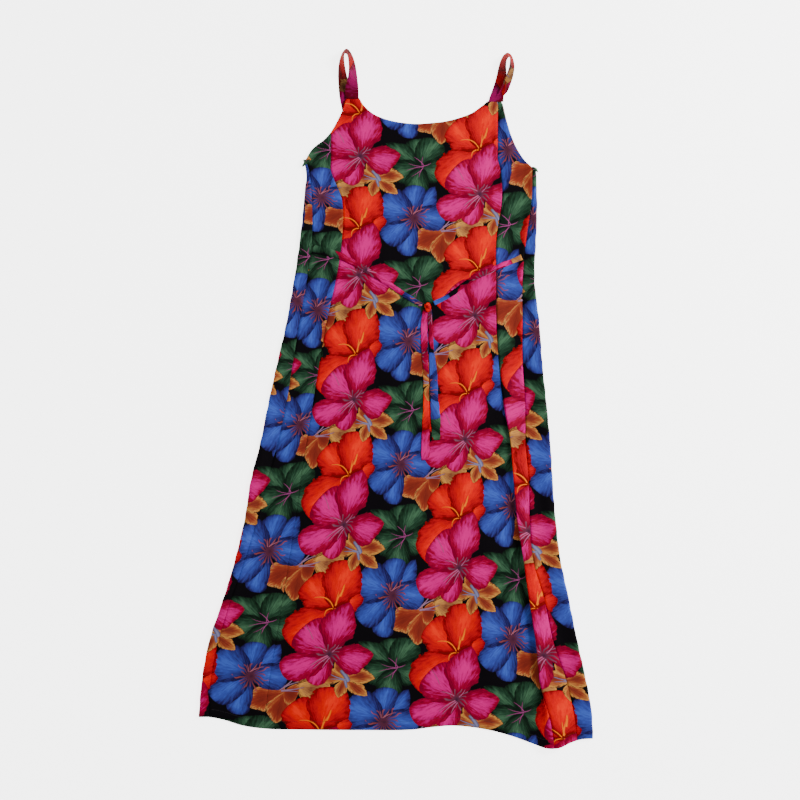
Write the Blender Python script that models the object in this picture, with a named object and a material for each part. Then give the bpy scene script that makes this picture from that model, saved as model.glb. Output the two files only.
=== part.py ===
"""Maxi dress with narrow straps and a waist tie, laid flat on its back with the front up.

Metres, +Z up, straps towards +Y and hem towards -Y. The origin is on the floor, under the middle
of the dress. Tables and lengths below are in millimetres. Each piece is a closed wall of cloth: a
grid of face points and the same points moved in by the wall's thickness.
"""

import math

import bpy
import numpy as np
from mathutils.bvhtree import BVHTree

MM = 0.001
WALL = 1.5  # thickness of one layer of cloth, as modelled
SEAM_GAP = 0.3  # between two pieces that are sewn together
LAY_GAP = 0.5  # between two layers that lie on each other
REST_HEIGHT = 2 * WALL + LAY_GAP  # face of the front where it lies flat on the back
ROWS = 33  # rows of points from the top edge to the hem
BACK_INSET = 4.0  # the hidden edges of the back lie this far inside the front's
CREASE_ANGLE = math.radians(40)  # edges sharper than this are shaded sharp

# Widths of the laid dress: a row for each station from underarm to hem.
STATION_COLUMNS = (
    "y", "left_edge", "left_side", "left_princess", "right_princess", "right_side", "right_edge",
)
STATIONS = np.array([
    (476, -186, -180, -130, 204, 272, 280),
    (456, -180, -174, -130, 210, 272, 280),
    (396, -184, -168, -108, 213, 271, 282),
    (316, -192, -168, -108, 202, 260, 280),
    (236, -204, -178, -120, 202, 253, 277),
    (156, -218, -192, -138, 202, 253, 286),
    (76, -236, -205, -152, 207, 253, 292),
    (-4, -254, -218, -165, 216, 258, 300),
    (-84, -270, -235, -178, 231, 261, 308),
    (-164, -290, -257, -191, 239, 269, 313),
    (-244, -303, -278, -201, 247, 274, 319),
    (-324, -322, -302, -214, 260, 284, 329),
    (-404, -346, -330, -227, 272, 304, 346),
    (-484, -373, -354, -240, 286, 321, 362),
    (-564, -388, -370, -253, 298, 344, 380),
    (-636, -394, -374, -262, 318, 360, 392),
    (-684, -394, -376, -266, 322, 364, 394),
])

# The top edge, from the left underarm over the strap bases and the neckline to the right underarm.
TOP_COLUMNS = ("x", "y")
TOP_EDGE = np.array([
    (-180, 476), (-174, 487), (-168, 496), (-156, 507), (-144, 516), (-130, 532), (-118, 552),
    (-107, 575), (-98, 600), (-74, 600), (-66, 587), (-48, 570), (-28, 560), (-8, 554), (16, 550),
    (42, 548), (72, 550), (92, 552), (112, 556), (132, 562), (152, 570), (172, 584), (185, 594),
    (204, 594), (211, 594), (217, 568), (226, 536), (238, 506), (256, 476), (272, 460),
])
# The flat layer of the back has a column of points at each of these x, at the top edge.
FLAT_BACK_X = (-168, -130, -98, -74, -48, 16, 92, 152, 185, 204, 217, 226, 238, 256)

# The hem: level on the left and in the middle, with a round lobe where the largest fold ends.
HEM_COLUMNS = ("x", "y")
HEM = np.array([
    (-394, -637), (-374, -638), (-348, -643), (-308, -655), (-266, -661), (-188, -663),
    (-60, -664), (32, -663), (72, -658), (112, -655), (152, -658), (192, -665), (232, -676),
    (272, -690), (306, -698.5), (332, -697.5), (352, -688), (372, -682), (394, -680),
])

LOWEST = HEM[:, HEM_COLUMNS.index("y")].min()

# The soft fold that runs down the right princess seam: a row for each station.
FOLD_COLUMNS = ("y", "crest_from_seam", "height", "reach_left", "reach_right")
FOLD = np.array([
    (600, 6, 0.0, 12, 14),
    (420, 6, 2.5, 8, 12),
    (300, 6, 3.0, 7, 12),
    (120, 6, 3.0, 7, 12),
    (20, 7, 4.5, 8, 15),
    (-80, 8, 8.0, 8, 18),
    (-200, 9, 11.0, 9, 21),
    (-330, 10, 12.5, 10, 24),
    (-450, 10, 13.5, 11, 28),
    (-560, 8, 14.0, 14, 32),
    (-640, 2, 14.0, 24, 36),
    (-700, -4, 14.0, 34, 38),
])

# Smaller folds: each a ridge from one point to another, fading out at both ends.
RIDGE_COLUMNS = ("x1", "y1", "x2", "y2", "height", "reach")
RIDGES = np.array([
    (221, 566, 229, 400, 3.5, 8),  # from the right strap into the side front
    (244, 500, 236, 330, 2.2, 9),
    (-150, 490, -158, 330, 2.0, 10),  # under the left arm
    (-150, 290, -60, 226, 1.8, 12),  # pulled by the left tie
    (-160, 262, -88, 168, 1.6, 14),
    (240, 262, 150, 232, 1.8, 12),  # pulled by the right tie
    (226, 240, 132, 168, 1.4, 14),
    (40, 520, -30, 380, 1.4, 26),  # bust
    (120, 500, 150, 360, 1.6, 26),
    (20, 150, -10, -60, 1.2, 20),  # skirt
    (-70, 60, -110, -240, 2.0, 24),
    (120, -20, 140, -300, 2.2, 26),
    (-150, -200, -190, -520, 2.6, 26),
    (30, -240, 20, -600, 2.6, 30),
    (-250, -330, -290, -600, 2.6, 22),
    (170, -330, 190, -620, 2.4, 24),
])

# The cloth puffs up where it turns under at the sides, more under the right arm.
PUFF_COLUMNS = ("y", "left_height", "right_height")
PUFF = np.array([
    (476, 5.0, 7.5),
    (396, 5.0, 7.5),
    (236, 4.5, 6.0),
    (76, 4.5, 5.5),
    (-164, 6.0, 6.0),
    (-404, 6.0, 6.5),
    (-560, 5.0, 6.0),
    (-684, 3.5, 4.5),
])
PUFF_REACH = 24.0

# Straps: a row for each station from the front end over the arch to the back end, with the
# ribbon's outer and inner edges. The arch stands up, so the ribbon is nearly on edge there.
STRAP_COLUMNS = ("outer_x", "outer_y", "outer_z", "inner_x", "inner_y", "inner_z")
STRAP_LEFT = np.array([
    (-74.5, 600.3, 3.5, -97.5, 600.3, 3.5),
    (-74.5, 610, 3.6, -98, 610, 4.6),
    (-75, 622, 3.6, -97, 622, 7.5),
    (-76, 634, 3.4, -94, 634, 12.5),
    (-77.5, 648, 3.0, -91.5, 648, 17.5),
    (-80, 664, 2.5, -91.5, 664, 20.5),
    (-84.5, 680, 2.4, -93.5, 679, 22),
    (-91, 693, 2.4, -96.5, 685, 23),
    (-99, 699, 2.4, -100.5, 687, 23),
    (-107, 692, 2.4, -104, 684, 22.5),
    (-112.5, 679, 2.3, -105, 676, 22),
    (-115.5, 664, 2.2, -104.5, 664, 20),
    (-116.5, 648, 2.0, -102, 648, 17),
    (-116, 634, 1.9, -99, 634, 11.5),
    (-114.5, 622, 1.7, -94.5, 622, 5.0),
    (-110, 609, 1.6, -88, 609, 1.8),
    (-98, 596.3, 1.5, -76, 596.3, 1.5),
])
STRAP_RIGHT = np.array([
    (184.5, 594.3, 3.5, 210.5, 594.3, 3.5),
    (188, 604, 3.6, 211.5, 602, 4.6),
    (192.5, 616, 3.6, 214, 613, 7.0),
    (197, 630, 3.4, 216, 628, 11.5),
    (201, 646, 3.0, 217, 645, 16.5),
    (204.5, 662, 2.6, 216.5, 661, 20),
    (209, 676, 2.4, 218, 672, 22),
    (215, 686, 2.4, 221.5, 678, 23),
    (223, 691, 2.4, 224.5, 680, 23),
    (231, 686, 2.4, 227.5, 678, 22.5),
    (236, 674, 2.3, 228.5, 671, 22),
    (237.5, 660, 2.2, 227.5, 659, 20.5),
    (235, 644, 2.0, 222, 642, 17.5),
    (230, 628, 1.9, 214, 624, 12.5),
    (223, 612, 1.7, 205, 606, 5.5),
    (213, 601, 1.6, 194, 598.5, 1.8),
    (208, 590.3, 1.5, 188, 590.3, 1.5),
])

# Waist ties: points along the middle of each flat tube, with its width there.
TIE_COLUMNS = ("x", "y", "width")
TIE_THICKNESS = 1.8
TIE_CROWN = (0.7, 1.0, 0.7)  # share of the thickness at the edge, the middle and the edge
TIE_STEP = 8.0  # between two rows of a tie's points
LAY_REACH = 3.0  # how far around a point the front is felt for its height
ABOVE_ALL = 100.0
TIE_LEFT = np.array([
    (-166.5, 298, 15), (-140, 292, 14), (-114, 285, 12), (-90, 273, 11), (-68, 261, 10),
    (-50, 250, 10), (-32, 239, 9.5), (-10, 225, 9), (10, 211, 9), (30, 198, 9.5), (48, 187.5, 8),
])
TIE_RIGHT = np.array([
    (251, 281, 10), (232, 273, 9), (214, 266, 9), (190, 255, 9.5), (160, 242, 9),
    (138, 228, 8.5), (118, 213, 8.5), (98, 200, 8), (80, 192, 8),
])
TIE_TAIL_LEFT = np.array([
    (57.5, 169, 9), (56.5, 150, 11.5), (56.5, 122, 11.5), (57, 96, 11.5), (59.5, 60, 10),
    (60, 30, 10), (60.5, -10, 11), (60, -50, 13), (59, -90, 15), (58.5, -124, 14),
])
TIE_TAIL_RIGHT = np.array([
    (67.5, 169, 8), (68.5, 150, 9), (69.5, 122, 9), (70.5, 96, 9), (74, 60, 13),
    (75.5, 30, 14), (76.5, 0, 14), (79, -40, 17), (80, -84, 14),
])
KNOT_MIDDLE = (63.5, 180.5)
KNOT_HALF = (12.5, 10.5)  # half its width and length
KNOT_HEIGHT = 7.0
KNOT_SIDES, KNOT_RINGS = 14, 7
KNOT_DOME = 0.7  # power of the cosine in its side: under 1 it is fuller than a ball

# Colours are the ground and main petals of the flower print, as one even colour for each piece.
COLOURS = {
    "centre_front": (0.52, 0.04, 0.10),
    "side_front_left": (0.08, 0.10, 0.30),
    "side_front_right": (0.10, 0.14, 0.36),
    "back": (0.05, 0.09, 0.26),
    "strap_left": (0.55, 0.03, 0.12),
    "strap_right": (0.55, 0.05, 0.10),
    "tie_left": (0.48, 0.03, 0.18),
    "tie_right": (0.48, 0.03, 0.18),
    "tie_knot": (0.42, 0.04, 0.10),
    "tie_tail_left": (0.48, 0.03, 0.18),
    "tie_tail_right": (0.12, 0.16, 0.45),
}
CLOTH_ROUGHNESS = 0.8


def column(table, columns, name):
    """One column of a table, by its name."""
    return table[:, columns.index(name)].astype(float)


def smooth(table, columns, name, at):
    """Column `name` of a table at the places `at`, on a curve through its rows with easy bends."""
    key = column(table, columns, columns[0])
    value = column(table, columns, name)
    if key[0] > key[-1]:
        key, value = key[::-1], value[::-1]
    step = np.diff(value) / np.diff(key)
    slope = np.concatenate([[step[0]], (step[1:] + step[:-1]) / 2, [step[-1]]])
    at = np.clip(np.asarray(at, float), key[0], key[-1])
    i = np.clip(np.searchsorted(key, at) - 1, 0, len(step) - 1)
    width = key[i + 1] - key[i]
    t = (at - key[i]) / width
    rise = (value[i] * (1 + 2 * t) * (1 - t) ** 2 + value[i + 1] * t * t * (3 - 2 * t))
    return rise + width * (slope[i] * t * (1 - t) ** 2 - slope[i + 1] * t * t * (1 - t))


def station(name, y):
    """Where a seam or an edge of the laid dress runs at y."""
    return smooth(STATIONS, STATION_COLUMNS, name, y)


def top_of(x):
    """The top edge's y at x."""
    return np.interp(x, *(column(TOP_EDGE, TOP_COLUMNS, name) for name in TOP_COLUMNS))


def hem_of(x):
    """The hem's y at x."""
    return smooth(HEM, HEM_COLUMNS, "y", x)


def ridge(x, y, x1, y1, x2, y2, height, reach):
    """A bell-shaped ridge along a line, fading out over its length."""
    length = math.hypot(x2 - x1, y2 - y1)
    along = ((x - x1) * (x2 - x1) + (y - y1) * (y2 - y1)) / length ** 2
    across = ((x - x1) * (y2 - y1) - (y - y1) * (x2 - x1)) / length
    fade = np.sin(math.pi * np.clip(along, 0, 1))
    return height * fade * np.exp(-(across / reach) ** 2)


def big_fold(x, y):
    """The fold down the right princess seam, steep on its left side and gentle on its right."""
    crest = station("right_princess", y) + smooth(FOLD, FOLD_COLUMNS, "crest_from_seam", y)
    left = smooth(FOLD, FOLD_COLUMNS, "reach_left", y)
    right = smooth(FOLD, FOLD_COLUMNS, "reach_right", y)
    reach = np.where(x < crest, left, right)
    return smooth(FOLD, FOLD_COLUMNS, "height", y) * np.exp(-((x - crest) / reach) ** 2)


def face_height(x, y):
    """Height of the front's face above the floor, for arrays of x and y."""
    x, y = np.asarray(x, float), np.asarray(y, float)
    from_left = (x - station("left_edge", y)) / PUFF_REACH
    from_right = (station("right_edge", y) - x) / PUFF_REACH
    height = REST_HEIGHT + big_fold(x, y)
    height = height + smooth(PUFF, PUFF_COLUMNS, "left_height", y) * np.exp(-from_left ** 2)
    height = height + smooth(PUFF, PUFF_COLUMNS, "right_height", y) * np.exp(-from_right ** 2)
    for row in RIDGES:
        height = height + ridge(x, y, **dict(zip(RIDGE_COLUMNS, row)))
    return height


def face_and_inside(x, y):
    """Face points at (x, y), and the same points moved in by the wall along the face's normal."""
    step = 1.0
    slope_x = (face_height(x + step, y) - face_height(x - step, y)) / (2 * step)
    slope_y = (face_height(x, y + step) - face_height(x, y - step)) / (2 * step)
    face = np.stack([x, y, face_height(x, y)], axis=-1)
    normal = np.stack([-slope_x, -slope_y, np.ones_like(slope_x)], axis=-1)
    normal /= np.linalg.norm(normal, axis=-1, keepdims=True)
    return face, face - WALL * normal


def rows_between(top, hem):
    """y of each row of points, from the top edge to the hem, for each column."""
    share = np.linspace(0, 1, ROWS)[:, None]
    return top + (hem - top) * share


def closed_wall(face, inside):
    """Vertices and faces of a closed wall between two grids of the same points' two sides."""
    rows, columns = face.shape[:2]
    number = np.arange(rows * columns).reshape(rows, columns)
    other = number + rows * columns

    def quads(a, b, c, d):
        return np.stack([a.ravel(), b.ravel(), c.ravel(), d.ravel()], axis=1).tolist()

    faces = quads(number[:-1, :-1], number[1:, :-1], number[1:, 1:], number[:-1, 1:])
    faces += quads(other[:-1, :-1], other[:-1, 1:], other[1:, 1:], other[1:, :-1])
    faces += quads(number[0, :-1], number[0, 1:], other[0, 1:], other[0, :-1])
    faces += quads(number[-1, 1:], number[-1, :-1], other[-1, :-1], other[-1, 1:])
    faces += quads(number[1:, 0], number[:-1, 0], other[:-1, 0], other[1:, 0])
    faces += quads(number[:-1, -1], number[1:, -1], other[1:, -1], other[:-1, -1])
    points = np.concatenate([face.reshape(-1, 3), inside.reshape(-1, 3)])
    return points, faces


def add_piece(name, points, faces):
    """One closed object with its own cloth material; its faces are turned to point out."""
    mesh = bpy.data.meshes.new(name)
    mesh.from_pydata((points * MM).tolist(), [], faces)
    corners = [points[list(face)] for face in faces]
    volume = 0.0
    for corner in corners:
        for k in range(1, len(corner) - 1):
            volume += float(np.dot(corner[0], np.cross(corner[k], corner[k + 1])))
    if volume < 0:
        mesh.flip_normals()
    mesh.validate()
    mesh.shade_smooth()
    mesh.set_sharp_from_angle(angle=CREASE_ANGLE)
    material = bpy.data.materials.new(name)
    material.use_nodes = True
    shader = material.node_tree.nodes["Principled BSDF"]
    shader.inputs["Base Color"].default_value = (*COLOURS[name], 1)
    shader.inputs["Roughness"].default_value = CLOTH_ROUGHNESS
    shader.inputs["Metallic"].default_value = 0.0
    mesh.materials.append(material)
    made = bpy.data.objects.new(name, mesh)
    bpy.context.scene.collection.objects.link(made)
    return made


def front_panel(name, left_seam, right_seam):
    """A front panel between two seams, its columns of points at the top edge's own points."""
    half = SEAM_GAP / 2
    tops = column(TOP_EDGE, TOP_COLUMNS, "x")
    high = column(TOP_EDGE, TOP_COLUMNS, "y").max()
    left_top, right_top = station(left_seam, high), station(right_seam, high)
    tops = tops[(tops >= left_top) & (tops <= right_top)]
    across = (tops - left_top) / (right_top - left_top)
    hem_x = station(left_seam, LOWEST) * (1 - across) + station(right_seam, LOWEST) * across
    y = rows_between(top_of(tops), hem_of(hem_x))
    left, right = station(left_seam, y) + half, station(right_seam, y) - half
    face, inside = face_and_inside(left + (right - left) * across, y)
    points, faces = closed_wall(face, inside)
    add_piece(name, points, faces)
    return BVHTree.FromPolygons(points.tolist(), faces)


def back_panel():
    """The back: flat below, round at both edges, and on top as far as the side seams.

    A section across it is a C of five stretches: the left strip on top, the left turn, the flat
    layer on the floor, the right turn and the right strip. A turn is half a circle whose height is
    the face's height at the edge.
    """
    half = SEAM_GAP / 2
    strip_steps, turn_steps = np.linspace(0, 1, 4), np.linspace(0, 1, 7)
    tops = column(TOP_EDGE, TOP_COLUMNS, "x")
    underarm = {"left": top_of(tops[0]), "right": top_of(tops[-1])}
    faces, insides = [], []

    def edge_rows(side, hem_x):
        return rows_between(np.array([underarm[side]]), hem_of(np.array([hem_x])))[:, 0]

    def turn_radius(side, y):
        edge = station(side + "_edge", y)
        return face_height(edge, y) / 2

    def add(face, inside):
        faces.append(face)
        insides.append(inside)

    def strip(side, share, sign):
        seam_x, edge_x = station(side + "_side", LOWEST), station(side + "_edge", LOWEST)
        y = edge_rows(side, seam_x * (1 - share) + edge_x * share)
        start = station(side + "_side", y) - sign * half
        end = station(side + "_edge", y) + sign * turn_radius(side, y)
        add(*face_and_inside(start + (end - start) * share, y))

    def turn(side, share, sign):
        y = edge_rows(side, station(side + "_edge", LOWEST))
        radius = turn_radius(side, y)
        middle = station(side + "_edge", y) + sign * radius
        angle = math.pi / 2 + math.pi * share

        def point(r):
            return np.stack([middle + sign * r * math.cos(angle), y,
                             radius + r * math.sin(angle)], axis=-1)

        add(point(radius), point(radius - WALL))

    def flat(x_top):
        share = (x_top - tops[0]) / (tops[-1] - tops[0])
        hem_x = station("left_edge", LOWEST) * (1 - share) + station("right_edge", LOWEST) * share
        y = rows_between(np.array([top_of(x_top) - BACK_INSET]),
                         hem_of(np.array([hem_x])) + BACK_INSET)[:, 0]
        left = station("left_edge", y) + turn_radius("left", y)
        right = station("right_edge", y) - turn_radius("right", y)
        x = left + (right - left) * share
        add(np.stack([x, y, 0 * y], axis=-1), np.stack([x, y, 0 * y + WALL], axis=-1))

    for share in strip_steps[:-1]:
        strip("left", share, 1)
    for share in turn_steps:
        turn("left", share, 1)
    for x_top in FLAT_BACK_X:
        flat(x_top)
    for share in turn_steps[::-1]:
        turn("right", share, -1)
    for share in strip_steps[-2::-1]:
        strip("right", share, -1)
    add_piece("back", *closed_wall(np.stack(faces, axis=1), np.stack(insides, axis=1)))


def strap(name, table):
    """A ribbon between two edge curves, one wall thick."""
    edges = [column(table, STRAP_COLUMNS, key) for key in STRAP_COLUMNS]
    outer, inner = np.stack(edges[:3], axis=1), np.stack(edges[3:], axis=1)
    middle = (outer + inner) / 2
    face = np.stack([outer, middle, inner], axis=1)
    along = np.gradient(middle, axis=0)
    across = inner - outer
    normal = np.cross(along, across)
    normal /= np.linalg.norm(normal, axis=1, keepdims=True)
    normal *= np.sign(normal[:1, 2:3])
    add_piece(name, *closed_wall(face, face - WALL * normal[:, None, :]))


def height_on(panels, x, y):
    """Height of the made panels at each (x, y), the highest within a small reach of it."""
    around = [(0, 0), (LAY_REACH, 0), (-LAY_REACH, 0), (0, LAY_REACH), (0, -LAY_REACH)]
    high = np.zeros(x.size)
    for k, (px, py) in enumerate(zip(x.ravel(), y.ravel())):
        for dx, dy in around:
            for panel in panels:
                hit = panel.ray_cast((px + dx, py + dy, ABOVE_ALL), (0, 0, -1))[0]
                if hit is not None:
                    high[k] = max(high[k], hit.z)
    return high.reshape(x.shape)


def tie(name, table, panels):
    """A flat tube of cloth that lies on the front, made from the front's points moved out."""
    x, y, width = (column(table, TIE_COLUMNS, name) for name in TIE_COLUMNS)
    run = np.hypot(np.diff(x), np.diff(y)).sum()
    rows = np.linspace(0, len(table) - 1, round(run / TIE_STEP) + 1)
    index = np.arange(len(table))
    x, y, width = (np.interp(rows, index, value) for value in (x, y, width))
    dx, dy = np.gradient(x), np.gradient(y)
    length = np.hypot(dx, dy)
    side = np.stack([-dy / length, dx / length], axis=1)
    across = np.linspace(-0.5, 0.5, len(TIE_CROWN))
    px = x[:, None] + side[:, :1] * width[:, None] * across
    py = y[:, None] + side[:, 1:] * width[:, None] * across
    under = height_on(panels, px, py) + LAY_GAP
    crown = TIE_THICKNESS * np.array(TIE_CROWN)
    face = np.stack([px, py, under + crown], axis=-1)
    add_piece(name, *closed_wall(face, np.stack([px, py, under], axis=-1)))


def knot(panels):
    """The knot: a low rounded lump of cloth, flat where it lies on the front."""
    turn = np.linspace(0, 2 * math.pi, KNOT_SIDES, endpoint=False)
    rise = np.linspace(0, math.pi / 2, KNOT_RINGS)[:-1]
    reach = np.cos(rise)[:, None] ** KNOT_DOME
    x = KNOT_MIDDLE[0] + KNOT_HALF[0] * reach * np.cos(turn)
    y = KNOT_MIDDLE[1] + KNOT_HALF[1] * reach * np.sin(turn)
    base = float(height_on(panels, x[0], y[0]).max()) + LAY_GAP
    z = np.broadcast_to(base + KNOT_HEIGHT * np.sin(rise)[:, None], x.shape)
    points = np.stack([x, y, z], axis=-1).reshape(-1, 3)
    top = np.array([[*KNOT_MIDDLE, base + KNOT_HEIGHT]])
    rings = len(rise)
    faces = [tuple(range(KNOT_SIDES))[::-1]]
    for ring in range(rings - 1):
        for k in range(KNOT_SIDES):
            after = (k + 1) % KNOT_SIDES
            faces.append((ring * KNOT_SIDES + k, ring * KNOT_SIDES + after,
                          (ring + 1) * KNOT_SIDES + after, (ring + 1) * KNOT_SIDES + k))
    last = (rings - 1) * KNOT_SIDES
    for k in range(KNOT_SIDES):
        faces.append((last + k, last + (k + 1) % KNOT_SIDES, len(points)))
    add_piece("tie_knot", np.concatenate([points, top]), faces)


for item in list(bpy.data.objects):
    bpy.data.objects.remove(item, do_unlink=True)

front = [
    front_panel("centre_front", "left_princess", "right_princess"),
    front_panel("side_front_left", "left_side", "left_princess"),
    front_panel("side_front_right", "right_princess", "right_side"),
]
back_panel()
strap("strap_left", STRAP_LEFT)
strap("strap_right", STRAP_RIGHT)
tie("tie_left", TIE_LEFT, front)
tie("tie_right", TIE_RIGHT, front)
tie("tie_tail_left", TIE_TAIL_LEFT, front)
tie("tie_tail_right", TIE_TAIL_RIGHT, front)
knot(front)
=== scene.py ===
"""Looks of a long summer dress in flower-printed cloth, laid flat with its front up.

Metres, +Z up, straps towards +Y and hem towards -Y. Tables and lengths are in millimetres and are
turned to metres where a mesh is made. Each panel is a thin shell of cloth on its own grid of
points, and each strap and tie is a pressed tube.
"""

import math

import bmesh
import bpy
import numpy as np
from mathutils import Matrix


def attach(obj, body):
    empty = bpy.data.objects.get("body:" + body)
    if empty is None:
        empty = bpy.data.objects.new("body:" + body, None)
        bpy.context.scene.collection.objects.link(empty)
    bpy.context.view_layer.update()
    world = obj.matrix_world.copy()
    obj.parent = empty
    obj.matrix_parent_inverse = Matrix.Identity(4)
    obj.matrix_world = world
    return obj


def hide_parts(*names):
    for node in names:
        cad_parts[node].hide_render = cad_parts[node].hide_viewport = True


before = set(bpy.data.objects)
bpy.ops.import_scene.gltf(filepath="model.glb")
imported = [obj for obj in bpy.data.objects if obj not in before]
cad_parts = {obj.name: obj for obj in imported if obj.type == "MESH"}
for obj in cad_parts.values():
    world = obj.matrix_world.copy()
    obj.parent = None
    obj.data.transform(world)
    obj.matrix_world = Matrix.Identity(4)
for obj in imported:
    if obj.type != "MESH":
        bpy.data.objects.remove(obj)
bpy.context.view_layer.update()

bl_info = {
    "name": "Flower-printed maxi dress",
    "version": (1, 0, 0),
    "blender": (4, 5, 0),
    "location": "View3D > Sidebar > Dress",
    "description": "Makes the cloth, print, ties and sewing of a maxi dress laid flat",
    "category": "Object",
}

MM = 0.001
BODY = "root"

# The laid dress: the same tables and curves as the solids have.
REST_HEIGHT = 3.5  # face of the front where it lies flat on the back
BACK_INSET = 4.0  # the hidden edges of the back lie this far inside the front's
SEAM_LAP = 0.3  # of the cloth of two panels, so that no floor shows through a seam
LOWEST_POINT = 0.12  # height of the lowest cloth over the floor

SEAMS = ("left_side", "left_princess", "right_princess", "right_side")
INWARD = {"left": 1, "right": -1}  # which way x runs from a side edge to the middle
OTHER = {"left": "right", "right": "left"}
STATION_COLUMNS = (
    "y", "left_edge", "left_side", "left_princess", "right_princess", "right_side", "right_edge",
)
STATIONS = np.array([
    (476, -186, -180, -130, 204, 272, 280),
    (456, -180, -174, -130, 210, 272, 280),
    (396, -184, -168, -108, 213, 271, 282),
    (316, -192, -168, -108, 202, 260, 280),
    (236, -204, -178, -120, 202, 253, 277),
    (156, -218, -192, -138, 202, 253, 286),
    (76, -236, -205, -152, 207, 253, 292),
    (-4, -254, -218, -165, 216, 258, 300),
    (-84, -270, -235, -178, 231, 261, 308),
    (-164, -290, -257, -191, 239, 269, 313),
    (-244, -303, -278, -201, 247, 274, 319),
    (-324, -322, -302, -214, 260, 284, 329),
    (-404, -346, -330, -227, 272, 304, 346),
    (-484, -373, -354, -240, 286, 321, 362),
    (-564, -388, -370, -253, 298, 344, 380),
    (-636, -394, -374, -262, 318, 360, 392),
    (-684, -394, -376, -266, 322, 364, 394),
])
# The top edge, from the left underarm over the straps and the neckline to the right underarm.
TOP_COLUMNS = ("x", "y")
TOP_EDGE = np.array([
    (-180, 476), (-174, 487), (-168, 496), (-156, 507), (-144, 516), (-130, 532), (-118, 552),
    (-107, 575), (-98, 600), (-74, 600), (-66, 587), (-48, 570), (-28, 560), (-8, 554), (16, 550),
    (42, 548), (72, 550), (92, 552), (112, 556), (132, 562), (152, 570), (172, 584), (185, 594),
    (204, 594), (211, 594), (217, 568), (226, 536), (238, 506), (256, 476), (272, 460),
])
STRAP_BASES = (600.0, 594.0)  # y of the left and the right strap's base
BETWEEN_STRAPS = 60.0  # an x between them
# The hem, with a round lobe where the large fold ends.
HEM_COLUMNS = ("x", "y")
HEM = np.array([
    (-394, -637), (-374, -638), (-348, -643), (-308, -655), (-266, -661), (-188, -663),
    (-60, -664), (32, -663), (72, -658), (112, -655), (152, -658), (192, -665), (232, -676),
    (272, -690), (306, -698.5), (332, -697.5), (352, -688), (372, -682), (394, -680),
])
LOWEST = HEM[:, 1].min()
# The large fold: its crest is measured from the right princess seam.
FOLD_COLUMNS = ("y", "crest_from_seam", "height", "reach_left", "reach_right", "lean")
FOLD = np.array([
    (600, 6, 0.0, 12, 14, 0),
    (420, 6, 2.5, 8, 12, 2),
    (300, 6, 3.0, 7, 12, 3),
    (120, 6, 3.0, 7, 12, 3),
    (20, 7, 4.5, 8, 15, 5),
    (-80, 8, 8.0, 8, 18, 9),
    (-200, 9, 11.0, 9, 21, 12),
    (-330, 10, 12.5, 10, 24, 14),
    (-450, 10, 13.5, 11, 28, 15),
    (-560, 8, 14.0, 14, 32, 16),
    (-640, 2, 14.0, 24, 36, 12),
    (-700, -4, 14.0, 34, 38, 6),
])
# Soft ridges, each along a line from (x1, y1) to (x2, y2).
RIDGE_COLUMNS = ("x1", "y1", "x2", "y2", "height", "reach")
RIDGES = np.array([
    (221, 566, 229, 400, 3.5, 8),
    (244, 500, 236, 330, 2.2, 9),
    (-150, 490, -158, 330, 2.0, 10),
    (-150, 290, -60, 226, 1.8, 12),
    (-160, 262, -88, 168, 1.6, 14),
    (240, 262, 150, 232, 1.8, 12),
    (226, 240, 132, 168, 1.4, 14),
    (40, 520, -30, 380, 1.4, 26),
    (120, 500, 150, 360, 1.6, 26),
    (20, 150, -10, -60, 1.2, 20),
    (-70, 60, -110, -240, 2.0, 24),
    (120, -20, 140, -300, 2.2, 26),
    (-150, -200, -190, -520, 2.6, 26),
    (30, -240, 20, -600, 2.6, 30),
    (-250, -330, -290, -600, 2.6, 22),
    (170, -330, 190, -620, 2.4, 24),
])
# How far the cloth stands up where it turns round the side edges.
PUFF_COLUMNS = ("y", "left_height", "right_height")
PUFF = np.array([
    (476, 5.0, 7.5),
    (396, 5.0, 7.5),
    (236, 4.5, 6.0),
    (76, 4.5, 5.5),
    (-164, 6.0, 6.0),
    (-404, 6.0, 6.5),
    (-560, 5.0, 6.0),
    (-684, 3.5, 4.5),
])
PUFF_REACH = 24.0  # how far in from the side edge it does so
# Both edges of each strap, from the front up and over to the back. The left one's last rows run
# further down behind the armhole than its solid does.
STRAP_COLUMNS = ("outer_x", "outer_y", "outer_z", "inner_x", "inner_y", "inner_z")
STRAP_LEFT = np.array([
    (-74.5, 600.3, 3.5, -97.5, 600.3, 3.5),
    (-74.5, 610, 3.6, -98, 610, 4.6),
    (-75, 622, 3.6, -97, 622, 7.5),
    (-76, 634, 3.4, -94, 634, 12.5),
    (-77.5, 648, 3.0, -91.5, 648, 17.5),
    (-80, 664, 2.5, -91.5, 664, 20.5),
    (-84.5, 680, 2.4, -93.5, 679, 22),
    (-91, 693, 2.4, -96.5, 685, 23),
    (-99, 699, 2.4, -100.5, 687, 23),
    (-107, 692, 2.4, -104, 684, 22.5),
    (-112.5, 679, 2.3, -105, 676, 22),
    (-115.5, 664, 2.2, -104.5, 664, 20),
    (-116.5, 648, 2.0, -102, 648, 17),
    (-116, 634, 1.9, -99, 634, 11.5),
    (-115, 622, 1.7, -96, 622, 4.4),
    (-113.5, 606, 1.6, -92, 604, 1.8),
    (-111, 591, 1.5, -94, 594, 1.5),
    (-107.5, 577, 1.4, -99, 584, 1.4),
])
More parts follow.
